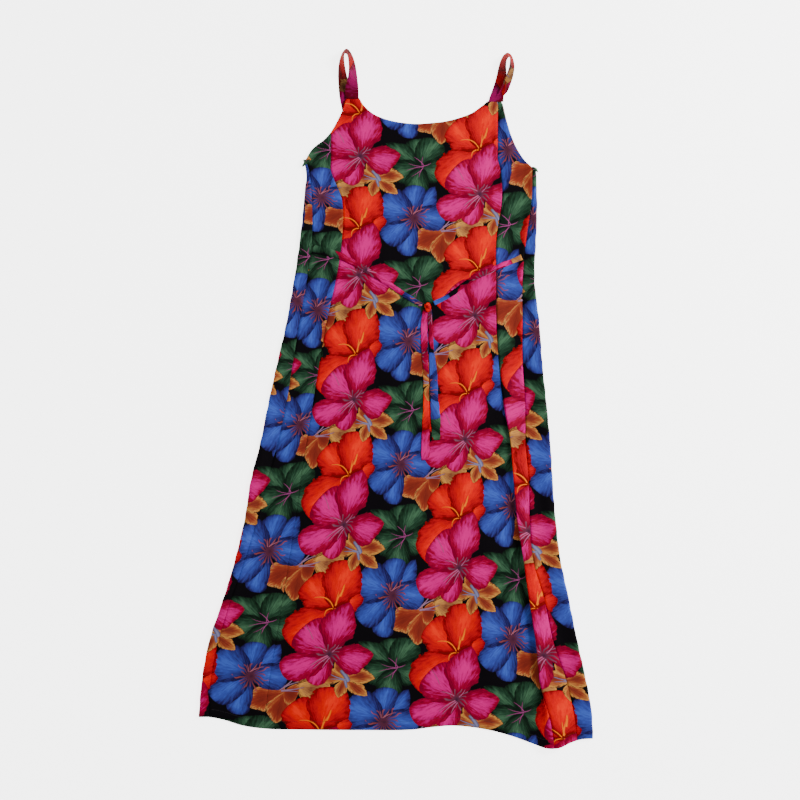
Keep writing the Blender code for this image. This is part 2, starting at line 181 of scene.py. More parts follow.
STRAP_RIGHT = np.array([
    (184.5, 594.3, 3.5, 210.5, 594.3, 3.5),
    (188, 604, 3.6, 211.5, 602, 4.6),
    (192.5, 616, 3.6, 214, 613, 7.0),
    (197, 630, 3.4, 216, 628, 11.5),
    (201, 646, 3.0, 217, 645, 16.5),
    (204.5, 662, 2.6, 216.5, 661, 20),
    (209, 676, 2.4, 218, 672, 22),
    (215, 686, 2.4, 221.5, 678, 23),
    (223, 691, 2.4, 224.5, 680, 23),
    (231, 686, 2.4, 227.5, 678, 22.5),
    (236, 674, 2.3, 228.5, 671, 22),
    (237.5, 660, 2.2, 227.5, 659, 20.5),
    (235, 644, 2.0, 222, 642, 17.5),
    (230, 628, 1.9, 214, 624, 12.5),
    (223, 612, 1.7, 205, 606, 5.5),
    (213, 601, 1.6, 194, 598.5, 1.8),
    (208, 590.3, 1.5, 188, 590.3, 1.5),
])
TIE_COLUMNS = ("x", "y", "width")
TIES = {
    "tie_left": np.array([
        (-166.5, 298, 15), (-140, 292, 14), (-114, 285, 12), (-90, 273, 11), (-68, 261, 10),
        (-50, 250, 10), (-32, 239, 9.5), (-10, 225, 9), (10, 211, 9), (30, 198, 9.5), (52, 185, 8),
    ]),
    "tie_right": np.array([
        (251, 281, 10), (232, 273, 9), (214, 266, 9), (190, 255, 9.5), (160, 242, 9),
        (138, 228, 8.5), (118, 213, 8.5), (98, 200, 8), (76, 189, 8),
    ]),
    "tie_tail_left": np.array([
        (58.5, 176, 8), (56.5, 150, 11.5), (56.5, 122, 11.5), (57, 96, 11.5), (59.5, 60, 10),
        (60, 30, 10), (60.5, -10, 11), (60, -50, 13), (59, -90, 15), (58.5, -124, 14),
    ]),
    "tie_tail_right": np.array([
        (66.5, 176, 7), (68.5, 150, 9), (69.5, 122, 9), (70.5, 96, 9), (74, 60, 13),
        (75.5, 30, 14), (76.5, 0, 14), (79, -40, 17), (80, -84, 14),
    ]),
}
KNOT_MIDDLE = (63.5, 181.0)
LUMP = (5.6, 9.6, 3.0)  # half the width, length and height of the knot's lump
WRAP_REACH, WRAP_HEIGHT = 6.4, 6.6  # the turn of tie over the lump
WRAP_HALF_WIDTH, WRAP_THICKNESS, WRAP_TILT = 3.4, 1.7, 2.2
STRAP_THICKNESS = 1.6
STRAP_FULLNESS = 1.16  # width of a strap's cloth as a share of its solid's
STRAP_LAP = 2.6  # how far its ends lap over the front and under the back's edge
STRAP_LAP_LENGTH = 7.0  # over what length they do so
STRAP_LAP_LIFT = 1.5  # how far the front end rises over the front
STRAP_PAINTED_SHADE = 0.34  # painted shade: the straps' colour is darkened to this share, as they stand up in the light of the floor
STRAP_SECTIONS = 150
STRAP_CREASE, STRAP_CREASE_REACH = 0.45, 0.2  # depth, and reach as a share of half the width
GATHER_TURNS, GATHER_REACH = 11.0, 16.0  # ripples across a strap's ends, and how far they run
TIE_FULLNESS = 1.12  # width of a tie's cloth as a share of its solid's
TIE_THICKNESS = 1.9
TIE_HEIGHTS = (0.6, 2.6)  # least and greatest height of a tie over what it lies on
TIE_GAP = 0.35  # between a tie and what it lies on
TIE_SECTIONS = 8  # to each row of a tie's table
# Places round a point of a tie that it has to clear too.
TIE_FEELERS = ((0, 0), (2, 0), (-2, 0), (0, 2), (0, -2))
# Rolls of cloth at the underarms: the middle line and its radius.
ROLLS = {
    "underarm_roll_left": ([(-172, 476, 7), (-180, 471, 7), (-187, 462, 6)], 3.0),
    "underarm_roll_right": ([(272, 461, 10), (278, 457, 9.5), (283, 451, 8)], 2.6),
}
ROLL_SECTIONS = 22
ROLL_GROOVE = 0.12  # depth of a roll's groove as a share of its radius
# Where each ribbon and roll was cut from the cloth: a start, in millimetres off an orange flower,
# and the direction that it runs in, in degrees.
CUTS = {
    "strap_left": (-44, -92, 84),
    "strap_right": (-50, -62, 84),
    "tie_left": (114, -62, 195),
    "tie_right": (-38, -166, 55),
    "tie_tail_left": (22, 8, -90),
    "tie_tail_right": (4, -98, 57),
    "knot_lump": (8, 66, 80),
    "knot_wrap": (-30, 20, 20),
    "underarm_roll_left": (120, -100, 20),
    "underarm_roll_right": (140, -90, 60),
}

# Finer creases that only the shell has, with the ridges' columns; a negative height is a trough.
CREASES = np.array([
    (-258, -150, -280, -262, 2.2, 4.5),  # puckers along the left side seam
    (-246, -120, -262, -200, -1.0, 5),
    (-286, -236, -310, -330, 1.4, 5),
    (-176, 440, -160, 380, 1.2, 5),
    (-140, 470, -126, 400, -0.8, 6),
    (-150, 330, -128, 250, 0.9, 5),
    (-164, 240, -150, 120, 1.2, 7),
    (-130, 205, -60, 120, -0.8, 9),
    (-96, 470, -70, 300, 0.9, 12),
    (-60, 545, -20, 430, -0.8, 12),
    (20, 540, 40, 400, 0.8, 14),
    (96, 545, 84, 420, -0.7, 12),
    (186, 560, 176, 420, 1.3, 8),
    (190, 400, 170, 300, -0.7, 8),
    (214, 560, 222, 470, -1.4, 4),
    (232, 520, 240, 430, -0.9, 5),
    (250, 440, 246, 330, 1.1, 5),
    (236, 300, 228, 210, 1.2, 6),
    (190, 236, 120, 190, -0.7, 6),
    (40, 170, 46, 40, -0.8, 8),
    (88, 150, 98, 10, 0.9, 8),
    (-40, 90, -60, -60, -0.9, 16),
    (60, -120, 84, -300, -0.9, 18),
    (-130, -60, -150, -210, 1.0, 14),
    (160, 40, 176, -120, 0.9, 12),
    (200, -40, 214, -220, -0.9, 10),
    (-70, -300, -84, -500, -1.1, 20),
    (-190, -260, -226, -420, 1.2, 12),
    (-210, -440, -236, -620, -1.1, 14),
    (100, -360, 96, -560, 1.1, 18),
    (236, -420, 262, -600, -1.2, 12),
    (-330, -400, -352, -560, 1.2, 8),
    (-300, -480, -318, -640, -1.0, 10),
    (286, 200, 296, 60, 1.0, 6),
    (276, 40, 286, -110, -0.8, 6),
    (300, -180, 318, -330, 1.1, 8),
    (330, -350, 356, -520, -1.0, 8),
    (352, -520, 372, -660, 1.2, 9),
    (-20, -560, -28, -664, 1.0, 12),
    (140, -560, 150, -656, -0.9, 12),
    (60, -590, 66, -660, 0.8, 10),
    (-120, -580, -128, -663, 0.9, 11),
])
WAVINESS = 0.45  # slow unevenness of the whole cloth
WAVE_PITCHES = (71.0, 118.0)  # of the two waves that make it
SEAM_DIP = 1.7  # how deep the cloth turns down into a seam
SEAM_ROLL = 2.0  # over what width it does so
FAINT_SEAM, FAINT_SHARE = "left_princess", 0.4  # a seam that dips less below the hip
HIP_FADE = 200.0  # it fades over this length, down from y = 0
PUCKER = 0.5  # height of the puckers along a seam
PUCKER_PITCH, PUCKER_REACH = 17.0, 9.0  # along the seam and across it
EDGE_TURN = 0.9  # how far a finished edge rolls down
EDGE_ROLL = 1.6  # over what width it does so
HEM_TURN = 17.0  # depth of the turned-up hem
# Swells and the hem's line: height, distance from the edge and reach.
TOP_SWELL = (0.5, 5.0, 3.5)
HEM_SWELL = (0.4, 8.0, 6.0)
HEM_LINE = (0.5, HEM_TURN, 1.8)
STITCH_SUNK = 0.46  # how deep the hem's stitches lie in the groove that they pull
STITCH_ENDS = (-368.0, 366.0)  # x of the first and the last stitch

# Points of the panels' grids.
FRONT_ROWS, BACK_ROWS = 310, 300
ROW_CROWDING, COLUMN_CROWDING = 0.3, 0.6  # how much closer they stand near the edges
# Across half of the back: on top of the dress, round the side edge and underneath.
STRIP_POINTS, TURN_POINTS, FLAT_POINTS = 13, 11, 30
EDGE_WAVE, EDGE_WAVE_PITCH = 0.5, 46.0  # unevenness of the turn round a side edge
SEAM_RAISE = 0.7  # height of the centre back seam's turned edges, seen from below

# Place of the print on the dress: each orange flower's middle in two columns down the front.
PRINT_COLUMNS = ("row", "left_x", "left_y", "right_x", "right_y")
PRINT_ROWS = np.array([
    (-1, -71, 810, 168, 738),
    (0, -73, 570, 166, 498),
    (1, -74, 341, 164, 258),
    (2, -81, 88, 142, 11),
    (3, -95, -153, 126, -238),
    (4, -125, -419, 121, -507),
    (5, -153, -665, 116, -758),
    (6, -181, -911, 111, -1009),
])
# How far the print of another piece is moved against the centre front's.
SHIFT_COLUMNS = ("y", "right", "up")
SHIFTS = {
    "centre_front": np.array([(600, 0, 0), (-700, 0, 0)]),
    "side_front_left": np.array([
        (500, 54, -42), (406, 54, -40), (178, 46, -17), (90, 44, -11), (-40, 22, -4),
        (-170, 0, 0), (-700, 0, 0),
    ]),
    "side_front_right": np.array([
        (497, 190, 136), (92, 160, 97), (-170, 141, 68), (-416, 170, 90), (-676, 222, 81),
    ]),
    "back_left": np.array([
        (500, 10, -34), (310, 12, -28), (178, 4, 4), (-170, 0, 0), (-700, 0, 0),
    ]),
    "back_right": np.array([
        (500, 0, 70), (363, 2, 78), (138, 30, 97), (-103, 92, 80), (-371, 140, 88), (-646, 194, 82),
    ]),
}
REPEAT_X, REPEAT_STEP, REPEAT_Y = 236.0, 80.0, 240.0  # the print's repeat: along, step down, down
FIRST_FLOWER = (-73, 570)  # the left orange flower of row 0, where the search for a place starts
SEARCH_STEPS = 12


def column(table, columns, name):
    """One column of a table, by its name."""
    return table[:, columns.index(name)].astype(float)


def smooth(table, columns, name, at):
    """Column `name` of a table at the places `at`, on a cubic curve through its rows."""
    key = column(table, columns, columns[0])
    value = column(table, columns, name)
    if key[0] > key[-1]:
        key, value = key[::-1], value[::-1]
    step = np.diff(value) / np.diff(key)
    slope = np.concatenate([[step[0]], (step[1:] + step[:-1]) / 2, [step[-1]]])
    at = np.clip(np.asarray(at, float), key[0], key[-1])
    i = np.clip(np.searchsorted(key, at) - 1, 0, len(step) - 1)
    width = key[i + 1] - key[i]
    t = (at - key[i]) / width
    rise = value[i] * (1 + 2 * t) * (1 - t) ** 2 + value[i + 1] * t * t * (3 - 2 * t)
    return rise + width * (slope[i] * t * (1 - t) ** 2 - slope[i + 1] * t * t * (1 - t))


def station(name, y):
    """Where a seam or an edge of the laid dress runs at y."""
    return smooth(STATIONS, STATION_COLUMNS, name, y)


def top_of(x):
    """The top edge's y at x: a cubic through its points, held level under each strap."""
    y = smooth(TOP_EDGE, TOP_COLUMNS, "y", x)
    return np.minimum(y, np.where(np.asarray(x) < BETWEEN_STRAPS, *STRAP_BASES))


def hem_of(x):
    """The hem's y at x."""
    return smooth(HEM, HEM_COLUMNS, "y", x)


def uneven(at, pitch, seed):
    """An irregular wave of about one height: three sines whose lengths share no common multiple."""
    turn = 2 * math.pi * np.asarray(at) / pitch
    return (np.sin(turn + seed) + 0.7 * np.sin(1.618 * turn + 2.3 * seed)
            + 0.5 * np.sin(0.383 * turn + 4.1 * seed)) / 1.6


def bell(away, reach):
    """A bell curve: 1 where `away` is nought, about a third of that at `reach`."""
    return np.exp(-(away / reach) ** 2)


def bump(away, height, middle, reach):
    """A bell-shaped bump whose crest is `middle` away from an edge."""
    return height * bell(away - middle, reach)


def unit(vectors):
    """Vectors brought to length 1."""
    return vectors / np.linalg.norm(vectors, axis=-1, keepdims=True)


def ridge(x, y, x1, y1, x2, y2, height, reach):
    """A bell-shaped ridge along a line: half a sine along it times a bell curve across it."""
    length = math.hypot(x2 - x1, y2 - y1)
    along = ((x - x1) * (x2 - x1) + (y - y1) * (y2 - y1)) / length ** 2
    across = ((x - x1) * (y2 - y1) - (y - y1) * (x2 - x1)) / length
    fade = np.sin(math.pi * np.clip(along, 0, 1))
    return height * fade * bell(across, reach)


def with_ridges(height, x, y, table):
    """A height with each ridge of a table added."""
    for row in table:
        height = height + ridge(x, y, **dict(zip(RIDGE_COLUMNS, row)))
    return height


def fold_bell(x, y):
    """How near a point is to the crest of the large fold: a bell curve, steeper on the left."""
    crest = station("right_princess", y) + smooth(FOLD, FOLD_COLUMNS, "crest_from_seam", y)
    left = smooth(FOLD, FOLD_COLUMNS, "reach_left", y)
    right = smooth(FOLD, FOLD_COLUMNS, "reach_right", y)
    return bell(x - crest, np.where(x < crest, left, right))


def solid_height(x, y):
    """Height of the solids' face: level cloth, the large fold, the puffed edges and the ridges."""
    height = REST_HEIGHT + smooth(FOLD, FOLD_COLUMNS, "height", y) * fold_bell(x, y)
    for side in INWARD:
        puff = smooth(PUFF, PUFF_COLUMNS, side + "_height", y)
        height = height + puff * bell(x - station(side + "_edge", y), PUFF_REACH)
    return with_ridges(height, x, y, RIDGES)


def cloth_height(x, y):
    """Height of the shell's face: the solids' face, the finer creases, a slow waviness, puckers
    along the seams and a dip into each seam."""
    height = with_ridges(solid_height(x, y), x, y, CREASES)
    first, second = WAVE_PITCHES
    height = height + WAVINESS * uneven(x + 0.35 * y, first, 1.3) * uneven(y - 0.2 * x, second, 0.4)
    for number, seam in enumerate(SEAMS):
        away = np.abs(x - station(seam, y))
        pulled = PUCKER * (0.4 + 0.6 * np.abs(uneven(y, 160, number)))
        puckers = pulled * uneven(y, PUCKER_PITCH + 2 * number, number)
        height = height + puckers * bell(away, PUCKER_REACH)
        share = FAINT_SHARE if seam == FAINT_SEAM else 1.0
        dip = SEAM_DIP * (share + (1 - share) * np.clip((y + HIP_FADE) / HIP_FADE, 0, 1))
        height = height - dip * bell(away, SEAM_ROLL)
    return height


def laid(x, y):
    """Points of the cloth's face at (x, y). The large fold leans to the left at its crest."""
    lean = smooth(FOLD, FOLD_COLUMNS, "lean", y) * fold_bell(x, y)
    return np.stack([x - lean, y, cloth_height(x, y)], axis=-1)


def on_print(x, y):
    """Print coordinates of a place on flat cloth, in repeats, from millimetres off a flower."""
    along = np.asarray(x) / REPEAT_X
    return np.stack([along, -(np.asarray(y) + REPEAT_STEP * along) / REPEAT_Y], axis=-1)


def print_at(x, y, piece):
    """Print coordinates on a panel: the place between the two columns of orange flowers, found
    by a few steps towards the point, after the piece's own shift is taken off."""
    shift = SHIFTS[piece]
    x = x - smooth(shift, SHIFT_COLUMNS, "right", y)
    y = y - smooth(shift, SHIFT_COLUMNS, "up", y)
    row_keys = column(PRINT_ROWS, PRINT_COLUMNS, "row")
    s, t = (x - FIRST_FLOWER[0]) / REPEAT_X, (FIRST_FLOWER[1] - y) / REPEAT_Y

    def between(name, rows):
        left, right = (np.interp(rows, row_keys, column(PRINT_ROWS, PRINT_COLUMNS, side + name))
                       for side in ("left_", "right_"))
        return left * (1 - s) + right * s

    for _ in range(SEARCH_STEPS):
        t = t - (y - between("y", t)) / REPEAT_Y
        s = s + (x - between("x", t)) / REPEAT_X
    return np.stack([s, t], axis=-1)


def crowded(count, ends):
    """Shares from 0 to 1 that stand closer at both ends: an even run mixed with half a cosine."""
    even = np.linspace(0, 1, count)
    return even * (1 - ends) + ends * (1 - np.cos(math.pi * even)) / 2


def placed(name, data):
    """A new object in the scene, for a mesh, a light or a camera."""
    made = bpy.data.objects.new(name, data)
    bpy.context.scene.collection.objects.link(made)
    return made


def grid_faces(points, uv, flip, closed, first):
    """Faces and corner print coordinates of one grid of points, rows by columns.

    A closed grid is a tube: its last column joins its first, and both ends have a cap. Corner
    coordinates are read from `uv`, which has one more column than a closed grid has.
    """
    rows, columns = points.shape[:2]
    wide = columns if closed else columns - 1
    r, c = np.meshgrid(np.arange(rows - 1), np.arange(wide), indexing="ij")
    corners = [(r, c), (r + 1, c), (r + 1, c + 1), (r, c + 1)]
    if flip:
        corners = corners[::-1]
    quads = np.stack([first + a * columns + b % columns for a, b in corners], axis=-1)
    corner_uv = np.stack([uv[a, b] for a, b in corners], axis=-2).reshape(-1, 2)
    faces = quads.reshape(-1, 4).tolist()
    if closed:
        for row, order in ((0, 1), (rows - 1, -1)):
            cap = np.arange(columns)[::-order if flip else order]
            faces.append((first + row * columns + cap).tolist())
            corner_uv = np.concatenate([corner_uv, uv[row, cap]])
    return faces, corner_uv


def grid_mesh(name, grids):
    """One mesh object from one or more grids: (points, print coordinates, flip, closed)."""
    points, faces, corner_uv, first = [], [], [], 0
    for place, uv, flip, closed in grids:
        made, corners = grid_faces(place, uv, flip, closed, first)
        points.append(place.reshape(-1, 3))
        faces += made
        corner_uv.append(corners)
        first += place.shape[0] * place.shape[1]
    mesh = bpy.data.meshes.new(name)
    points = np.concatenate(points)
    points[:, 2] = np.maximum(points[:, 2], LOWEST_POINT)
    mesh.from_pydata((points * MM).tolist(), [], faces)
    corner_uv = np.concatenate(corner_uv).astype(np.float32)
    mesh.uv_layers.new(name="Print").data.foreach_set("uv", corner_uv.ravel())
    mesh.shade_smooth()
    return placed(name, mesh)


class Nodes:
    """Adds shader nodes to a tree; each method returns the new node's output socket."""

    def __init__(self, tree):
        self.tree = tree

    def add(self, kind, values, output=0, **settings):
        """A node of one kind; `values` gives its inputs by number, as sockets or plain values."""
        node = self.tree.nodes.new(kind)
        for key, value in settings.items():
            setattr(node, key, value)
        for key, value in values.items():
            if isinstance(value, bpy.types.NodeSocket):
                self.tree.links.new(value, node.inputs[key])
            else:
                node.inputs[key].default_value = value
        return node.outputs[output]

    def math(self, operation, *values, clamp=False):
        return self.add("ShaderNodeMath", dict(enumerate(values)), operation=operation,
                        use_clamp=clamp)

    def vector(self, operation, *values, output=0):
        return self.add("ShaderNodeVectorMath", dict(enumerate(values)), output,
                        operation=operation)

    def mix(self, factor, low, high):
        return self.add("ShaderNodeMix", {0: factor, 2: low, 3: high}, 0, data_type="FLOAT")

    def blend(self, factor, low, high):
        return self.add("ShaderNodeMix", {0: factor, 6: low, 7: high}, 2, data_type="RGBA")

    def separate(self, vector):
        node = self.add("ShaderNodeSeparateXYZ", {0: vector}).node
        return node.outputs[0], node.outputs[1]

    def noise(self, vector, scale, detail=1.0, roughness=0.5):
        return self.add("ShaderNodeTexNoise",
                        {"Vector": vector, "Scale": scale, "Detail": detail,
                         "Roughness": roughness})

    def ramp(self, factor, stops):
        node = self.add("ShaderNodeValToRGB", {0: factor}).node
        points = node.color_ramp.elements
        while len(points) < len(stops):
            points.new(0.5)
        for point, (place, colour) in zip(points, stops):
            point.position = place
            point.color = (*colour, 1)
        return node.outputs[0]

    def curve(self, value, points):
        node = self.add("ShaderNodeFloatCurve", {1: value}).node
        line = node.mapping.curves[0]
        while len(line.points) < len(points):
            line.points.new(0.5, 0.5)
        for point, place in zip(line.points, points):
            point.location = place
        node.mapping.extend = "HORIZONTAL"
        node.mapping.update()
        return node.outputs[0]


# Half width of a petal along its length, as a share of its widest.
PETAL_SHAPES = {
    "round": ((0, 0), (0.06, 0.22), (0.3, 0.66), (0.62, 1), (0.88, 0.8), (1, 0)),
    "broad": ((0, 0), (0.05, 0.3), (0.25, 0.74), (0.6, 1), (0.86, 0.86), (1, 0)),
    "pointed": ((0, 0), (0.06, 0.24), (0.26, 0.68), (0.5, 1), (0.78, 0.66), (1, 0)),
    "line": ((0, 0), (0.04, 1), (0.3, 1), (0.6, 0.9), (0.9, 0.7), (1, 0)),
}
# The flowers from the lowest layer to the top one. Places are millimetres, +y up the dress: each
# middle is off an orange flower's, each petal and line off its own flower's middle. A tone's first
# number is the depth in the petal, 0 at its edge and 1 at its middle line; the others are the
# shares of red, green and blue light that the cloth sends back. `dye` names the tint that a user
# can change. `streaks` and `ruffle` say how much fine streaks and slow waves change the depth,
# `rough` how much the streaks fray the edge, and `base` within which radius the depth is made less
# and by how much at the middle, or more where that is negative. In a cluster of stamens, a tone's
# first number is a share of the outer radius.
PETAL_COLUMNS = ("x", "y", "half_width", "bow", "shape")
LINE_COLUMNS = ("x1", "y1", "x2", "y2", "half_width", "bow")
FLOWERS = [
    {
        "dye": "green", "middle": (120, -114),
        "tones": (
            (0, (0.0026, 0.0077, 0.0042)), (0.22, (0.0062, 0.0215, 0.0093)),
            (0.55, (0.0144, 0.0444, 0.0229)), (1, (0.0472, 0.1187, 0.0599)),
        ),
        "streaks": 1.5, "ruffle": 0.5, "base": (34, 0.4), "rough": 0.14,
        "petals": (
            (-8, 60, 28, 0, "round"), (-72, 52, 19, 0.2, "pointed"), (-52, -18, 26, 0, "broad"),
            (38, 54, 29, -0.2, "broad"), (44, -18, 26, 0, "broad"), (-2, -54, 26, 0.2, "broad"),
        ),
        "lines": (
            (8, 2, -12, 20, 1.1, 1.6), (8, 1, -24, 8, 1.1, -1.8), (8, 0, -28, -8, 1.2, 1.6),
            (6, -2, -18, -20, 1.1, -1.8), (6, -2, -2, -22, 1.3, 1.4), (6, 2, 22, 8, 1.3, 1.2),
            (4, 2, 6, 22, 1.2, -1.0),
        ),
        "line_tones": ((0, (0.0864, 0.0144, 0.0545)), (1, (0.3162, 0.0516, 0.1891))),
    },
    {
        "dye": "tan", "middle": (186, 8),
        "tones": (
            (0, (0.0938, 0.0297, 0.0143)), (0.2, (0.6459, 0.2842, 0.0499)),
            (0.5, (0.3619, 0.149, 0.0457)), (1, (0.1618, 0.0462, 0.0213)),
        ),
        "streaks": 1.5, "ruffle": 0.6, "base": (30, 0.3), "rough": 0.03,
        "petals": (
            (30, 26, 18, 0, "broad"), (62, -6, 30, 0.2, "broad"),
        ),
        "lines": (), "line_tones": None,
    },
    {
        "dye": "rust", "middle": (168, -8),
        "tones": (
            (0, (0.0969, 0.0311, 0.0174)), (0.08, (0.5175, 0.227, 0.0526)),
            (0.22, (0.3228, 0.0687, 0.0216)), (0.48, (0.2199, 0.0243, 0.0111)),
            (1, (0.1487, 0.0145, 0.0089)),
        ),
        "streaks": 1.3, "ruffle": 0.4, "base": (26, -0.2), "rough": 0.02,
        "petals": (
            (-30, 26, 16, 0, "pointed"), (-64, -28, 27, 0, "pointed"),
            (-8, -64, 25, 0, "pointed"), (24, -6, 22, 0, "broad"),
        ),
        "lines": (
            (-8, 6, 16, 32, 1.7, 1.2), (-6, 6, 24, 22, 1.6, -1.2), (-6, 4, 34, 12, 1.7, 1.0),
            (-8, 4, 2, 26, 1.5, 0.8), (-6, 2, 26, 2, 1.4, -0.8),
        ),
        "line_tones": ((0, (0.0666, 0.0412, 0.082)), (1, (0.3119, 0.1599, 0.2516))),
    },
    {
        "dye": "blue", "middle": (106, 27),
        "tones": (
            (0, (0.0075, 0.0049, 0.0416)), (0.14, (0.0144, 0.0116, 0.096)),
            (0.4, (0.0252, 0.0334, 0.1911)), (0.75, (0.0328, 0.059, 0.3285)),
            (1, (0.0447, 0.0963, 0.4535)),
        ),
        "streaks": 1.3, "ruffle": 0.35, "base": (34, 0.45), "rough": 0.16,
        "petals": (
            (46, 62, 20, 0.3, "pointed"), (8, 64, 25, -0.2, "broad"), (-10, -86, 24, 0.25, "broad"),
            (-58, -56, 30, 0, "broad"), (68, -8, 28, 0, "broad"), (-68, 28, 39, 0, "broad"),
        ),
        "lines": (
            (0, 2, 24, 14, 1.2, -1.2), (-2, 2, -6, 18, 1.1, 0.8), (2, 4, 12, 20, 1.1, 0.8),
        ),
        "line_tones": ((0, (0.1118, 0.0271, 0.039)), (1, (0.3929, 0.1121, 0.1578))),
        "cluster": {"middle": (4, -6), "count": 17, "inner": -2, "outer": 30, "twist": 0.02,
                    "tones": (
                        (0, (0.0411, 0.0083, 0.0276)), (0.5, (0.1469, 0.0284, 0.0356)),
                        (1, (0.2947, 0.0581, 0.0528)),
                    )},
    },
    {
        "dye": "orange", "middle": (0, 0),
        "tones": (
            (0, (0.1447, 0.001, 0)), (0.14, (0.2919, 0.0017, 0.0064)),
            (0.4, (0.4947, 0, 0.0055)), (0.75, (0.684, 0.0006, 0)),
            (1, (0.8424, 0.0159, 0)),
        ),
        "streaks": 0.8, "ruffle": 0.85, "base": (44, 0.35), "rough": 0.16,
        "petals": (
            (-72, -80, 42, 0.15, "broad"), (-58, 52, 35, 0, "broad"), (58, 16, 27, -0.2, "pointed"),
            (22, 88, 40, 0, "broad"),
        ),
        "lines": (
            (0, 0, -38, 18, 1.6, 5.4), (0, -2, -14, -18, 1.6, 4.0), (2, -2, 22, 8, 1.5, 2.6),
            (3, 3, 13, 30, 1.9, -0.8), (10, 20, 16, 42, 2.4, 0.3), (5, 5, 7, 30, 1.4, -0.8),
        ),
        "line_tones": ((0, (0.5118, 0.0711, 0.0037)), (1, (0.93, 0.1765, 0))),
    },
    {
        "dye": "tan", "middle": (33, -137),
        "tones": (
            (0, (0.0851, 0.0254, 0.0141)), (0.12, (0.5721, 0.2487, 0.0443)),
            (0.4, (0.3304, 0.094, 0.0252)), (0.75, (0.2196, 0.0306, 0.0136)),
            (1, (0.1585, 0.0195, 0.011)),
        ),
        "streaks": 1.4, "ruffle": 0.4, "base": (14, -0.2), "rough": 0.02,
        "petals": (
            (-20, 34, 10, 0, "pointed"), (28, 22, 11, 0, "pointed"), (46, -34, 14, 0, "pointed"),
            (-8, -40, 13, 0, "pointed"), (58, 2, 17, -0.3, "pointed"),
            (-50, -4, 17, 0.3, "pointed"),
        ),
        "lines": (
            (8, -6, -8, 16, 4.4, 0.4), (4, -2, -26, 8, 1.5, -1.0), (4, -4, -26, -2, 1.3, 1.0),
            (2, -4, 6, -18, 3.0, 0),
        ),
        "line_tones": ((0, (0.0433, 0.0393, 0.0822)), (1, (0.2086, 0.1952, 0.3372))),
    },
    {
        "dye": "magenta", "middle": (4, -89),
        "tones": (
            (0, (0.1556, 0, 0.0155)), (0.1, (0.2254, 0, 0.0193)),
            (0.32, (0.3015, 0, 0.0258)), (0.5, (0.4118, 0, 0.1099)),
            (0.85, (0.635, 0, 0.1923)),
        ),
        "streaks": 1.5, "ruffle": 0.4, "base": (50, 0.42), "rough": 0.2,
        "petals": (
            (-28, -64, 22, 0, "broad"), (-88, -38, 30, -0.15, "broad"), (-58, 52, 42, 0, "broad"),
            (82, 0, 32, 0.35, "pointed"), (26, 104, 35, -0.15, "pointed"),
        ),
        "lines": (
            (-4, -4, -34, -26, 1.7, 0.8), (-2, -6, -28, -32, 1.6, 1.0), (-6, 4, -32, 12, 1.4, 1.2),
            (-34, 26, -52, 56, 1.2, 1.2), (0, -8, -12, -30, 1.5, 0.8), (2, 2, 14, 18, 1.3, 0.8),
        ),
        "line_tones": ((0, (0.0979, 0.0245, 0.0573)), (1, (0.5012, 0.096, 0.2199))),
        "cluster": {"middle": (-2, -2), "count": 13, "inner": -2, "outer": 22, "twist": 0.03,
                    "tones": (
                        (0, (0.0483, 0.0064, 0.0237)), (1, (0.1777, 0.0608, 0.105)),
                    )},
    },
]
GROUND = (0.0019, 0.0011, 0.0021)
PETAL_REACH = 0.955  # size of the petals as a share of the rows above
PETAL_EDGE = 0.9  # width over which a petal's edge fades, in millimetres
LINE_EDGE = 0.7  # the same for a line
STREAKS_AROUND, STREAKS_ALONG = 15.0, 0.06  # how fine they are round the middle and along a ray
RUFFLE_SCALE = 0.05  # waves to a millimetre
STAMEN_WIDTH, STAMEN_FADE, STAMEN_BEND = 1.5, 0.6, 1.8  # how broad, soft and bent they are

# The cloth's looks.
WRONG_SIDE_COLOUR, WRONG_SIDE_SHARE = (0.3, 0.24, 0.23, 1), 0.42
DYE_SPREAD, DYE_LEAST = 0.24, 0.88  # slow unevenness of the dye
CRINKLE_SCALE, CRINKLE_HEIGHT = 95.0, 0.0016  # soft crinkles: to a metre, and metres
WEAVE_HEIGHT = 0.0002  # metres


def dyed(stops, dye):
    """A ramp's stops, each colour multiplied by the tint that the user gives that dye."""
    tint = getattr(bpy.context.scene.dress_print, dye)
    return [(place, [part * share for part, share in zip(colour, tint)]) for place, colour in stops]


def petal(make, place, x1, y1, x2, y2, half_width, bow, shape, ruffle, edge):
    """Cover and depth of one petal or line from (x1, y1) to (x2, y2).

    Along its length the half width follows the shape; depth is that half width less the distance
    from its middle line, which is bowed sideways by `bow` half widths; cover is 1 where depth is
    above nought, with a soft edge.
    """
    length = math.hypot(x2 - x1, y2 - y1)
    turn = math.atan2(y2 - y1, x2 - x1)
    spot = make.add("ShaderNodeMapping", {0: place, 1: (x1, y1, 0), 2: (0, 0, turn),
                                          3: (length, half_width, 1)}, vector_type="TEXTURE")
    along, across = make.separate(spot)
    if bow:
        arch = make.math("MULTIPLY", along, make.math("SUBTRACT", 1.0, along))
        across = make.math("MULTIPLY_ADD", arch, 4 * bow, across)
    reach = make.curve(along, PETAL_SHAPES[shape])
    depth = make.math("SUBTRACT", reach, make.math("ABSOLUTE", across))
    if ruffle is not None:
        depth = make.math("ADD", depth, make.math("MULTIPLY", ruffle, reach))
    cover = make.math("MULTIPLY", depth, half_width / edge, clamp=True)
    return cover, depth


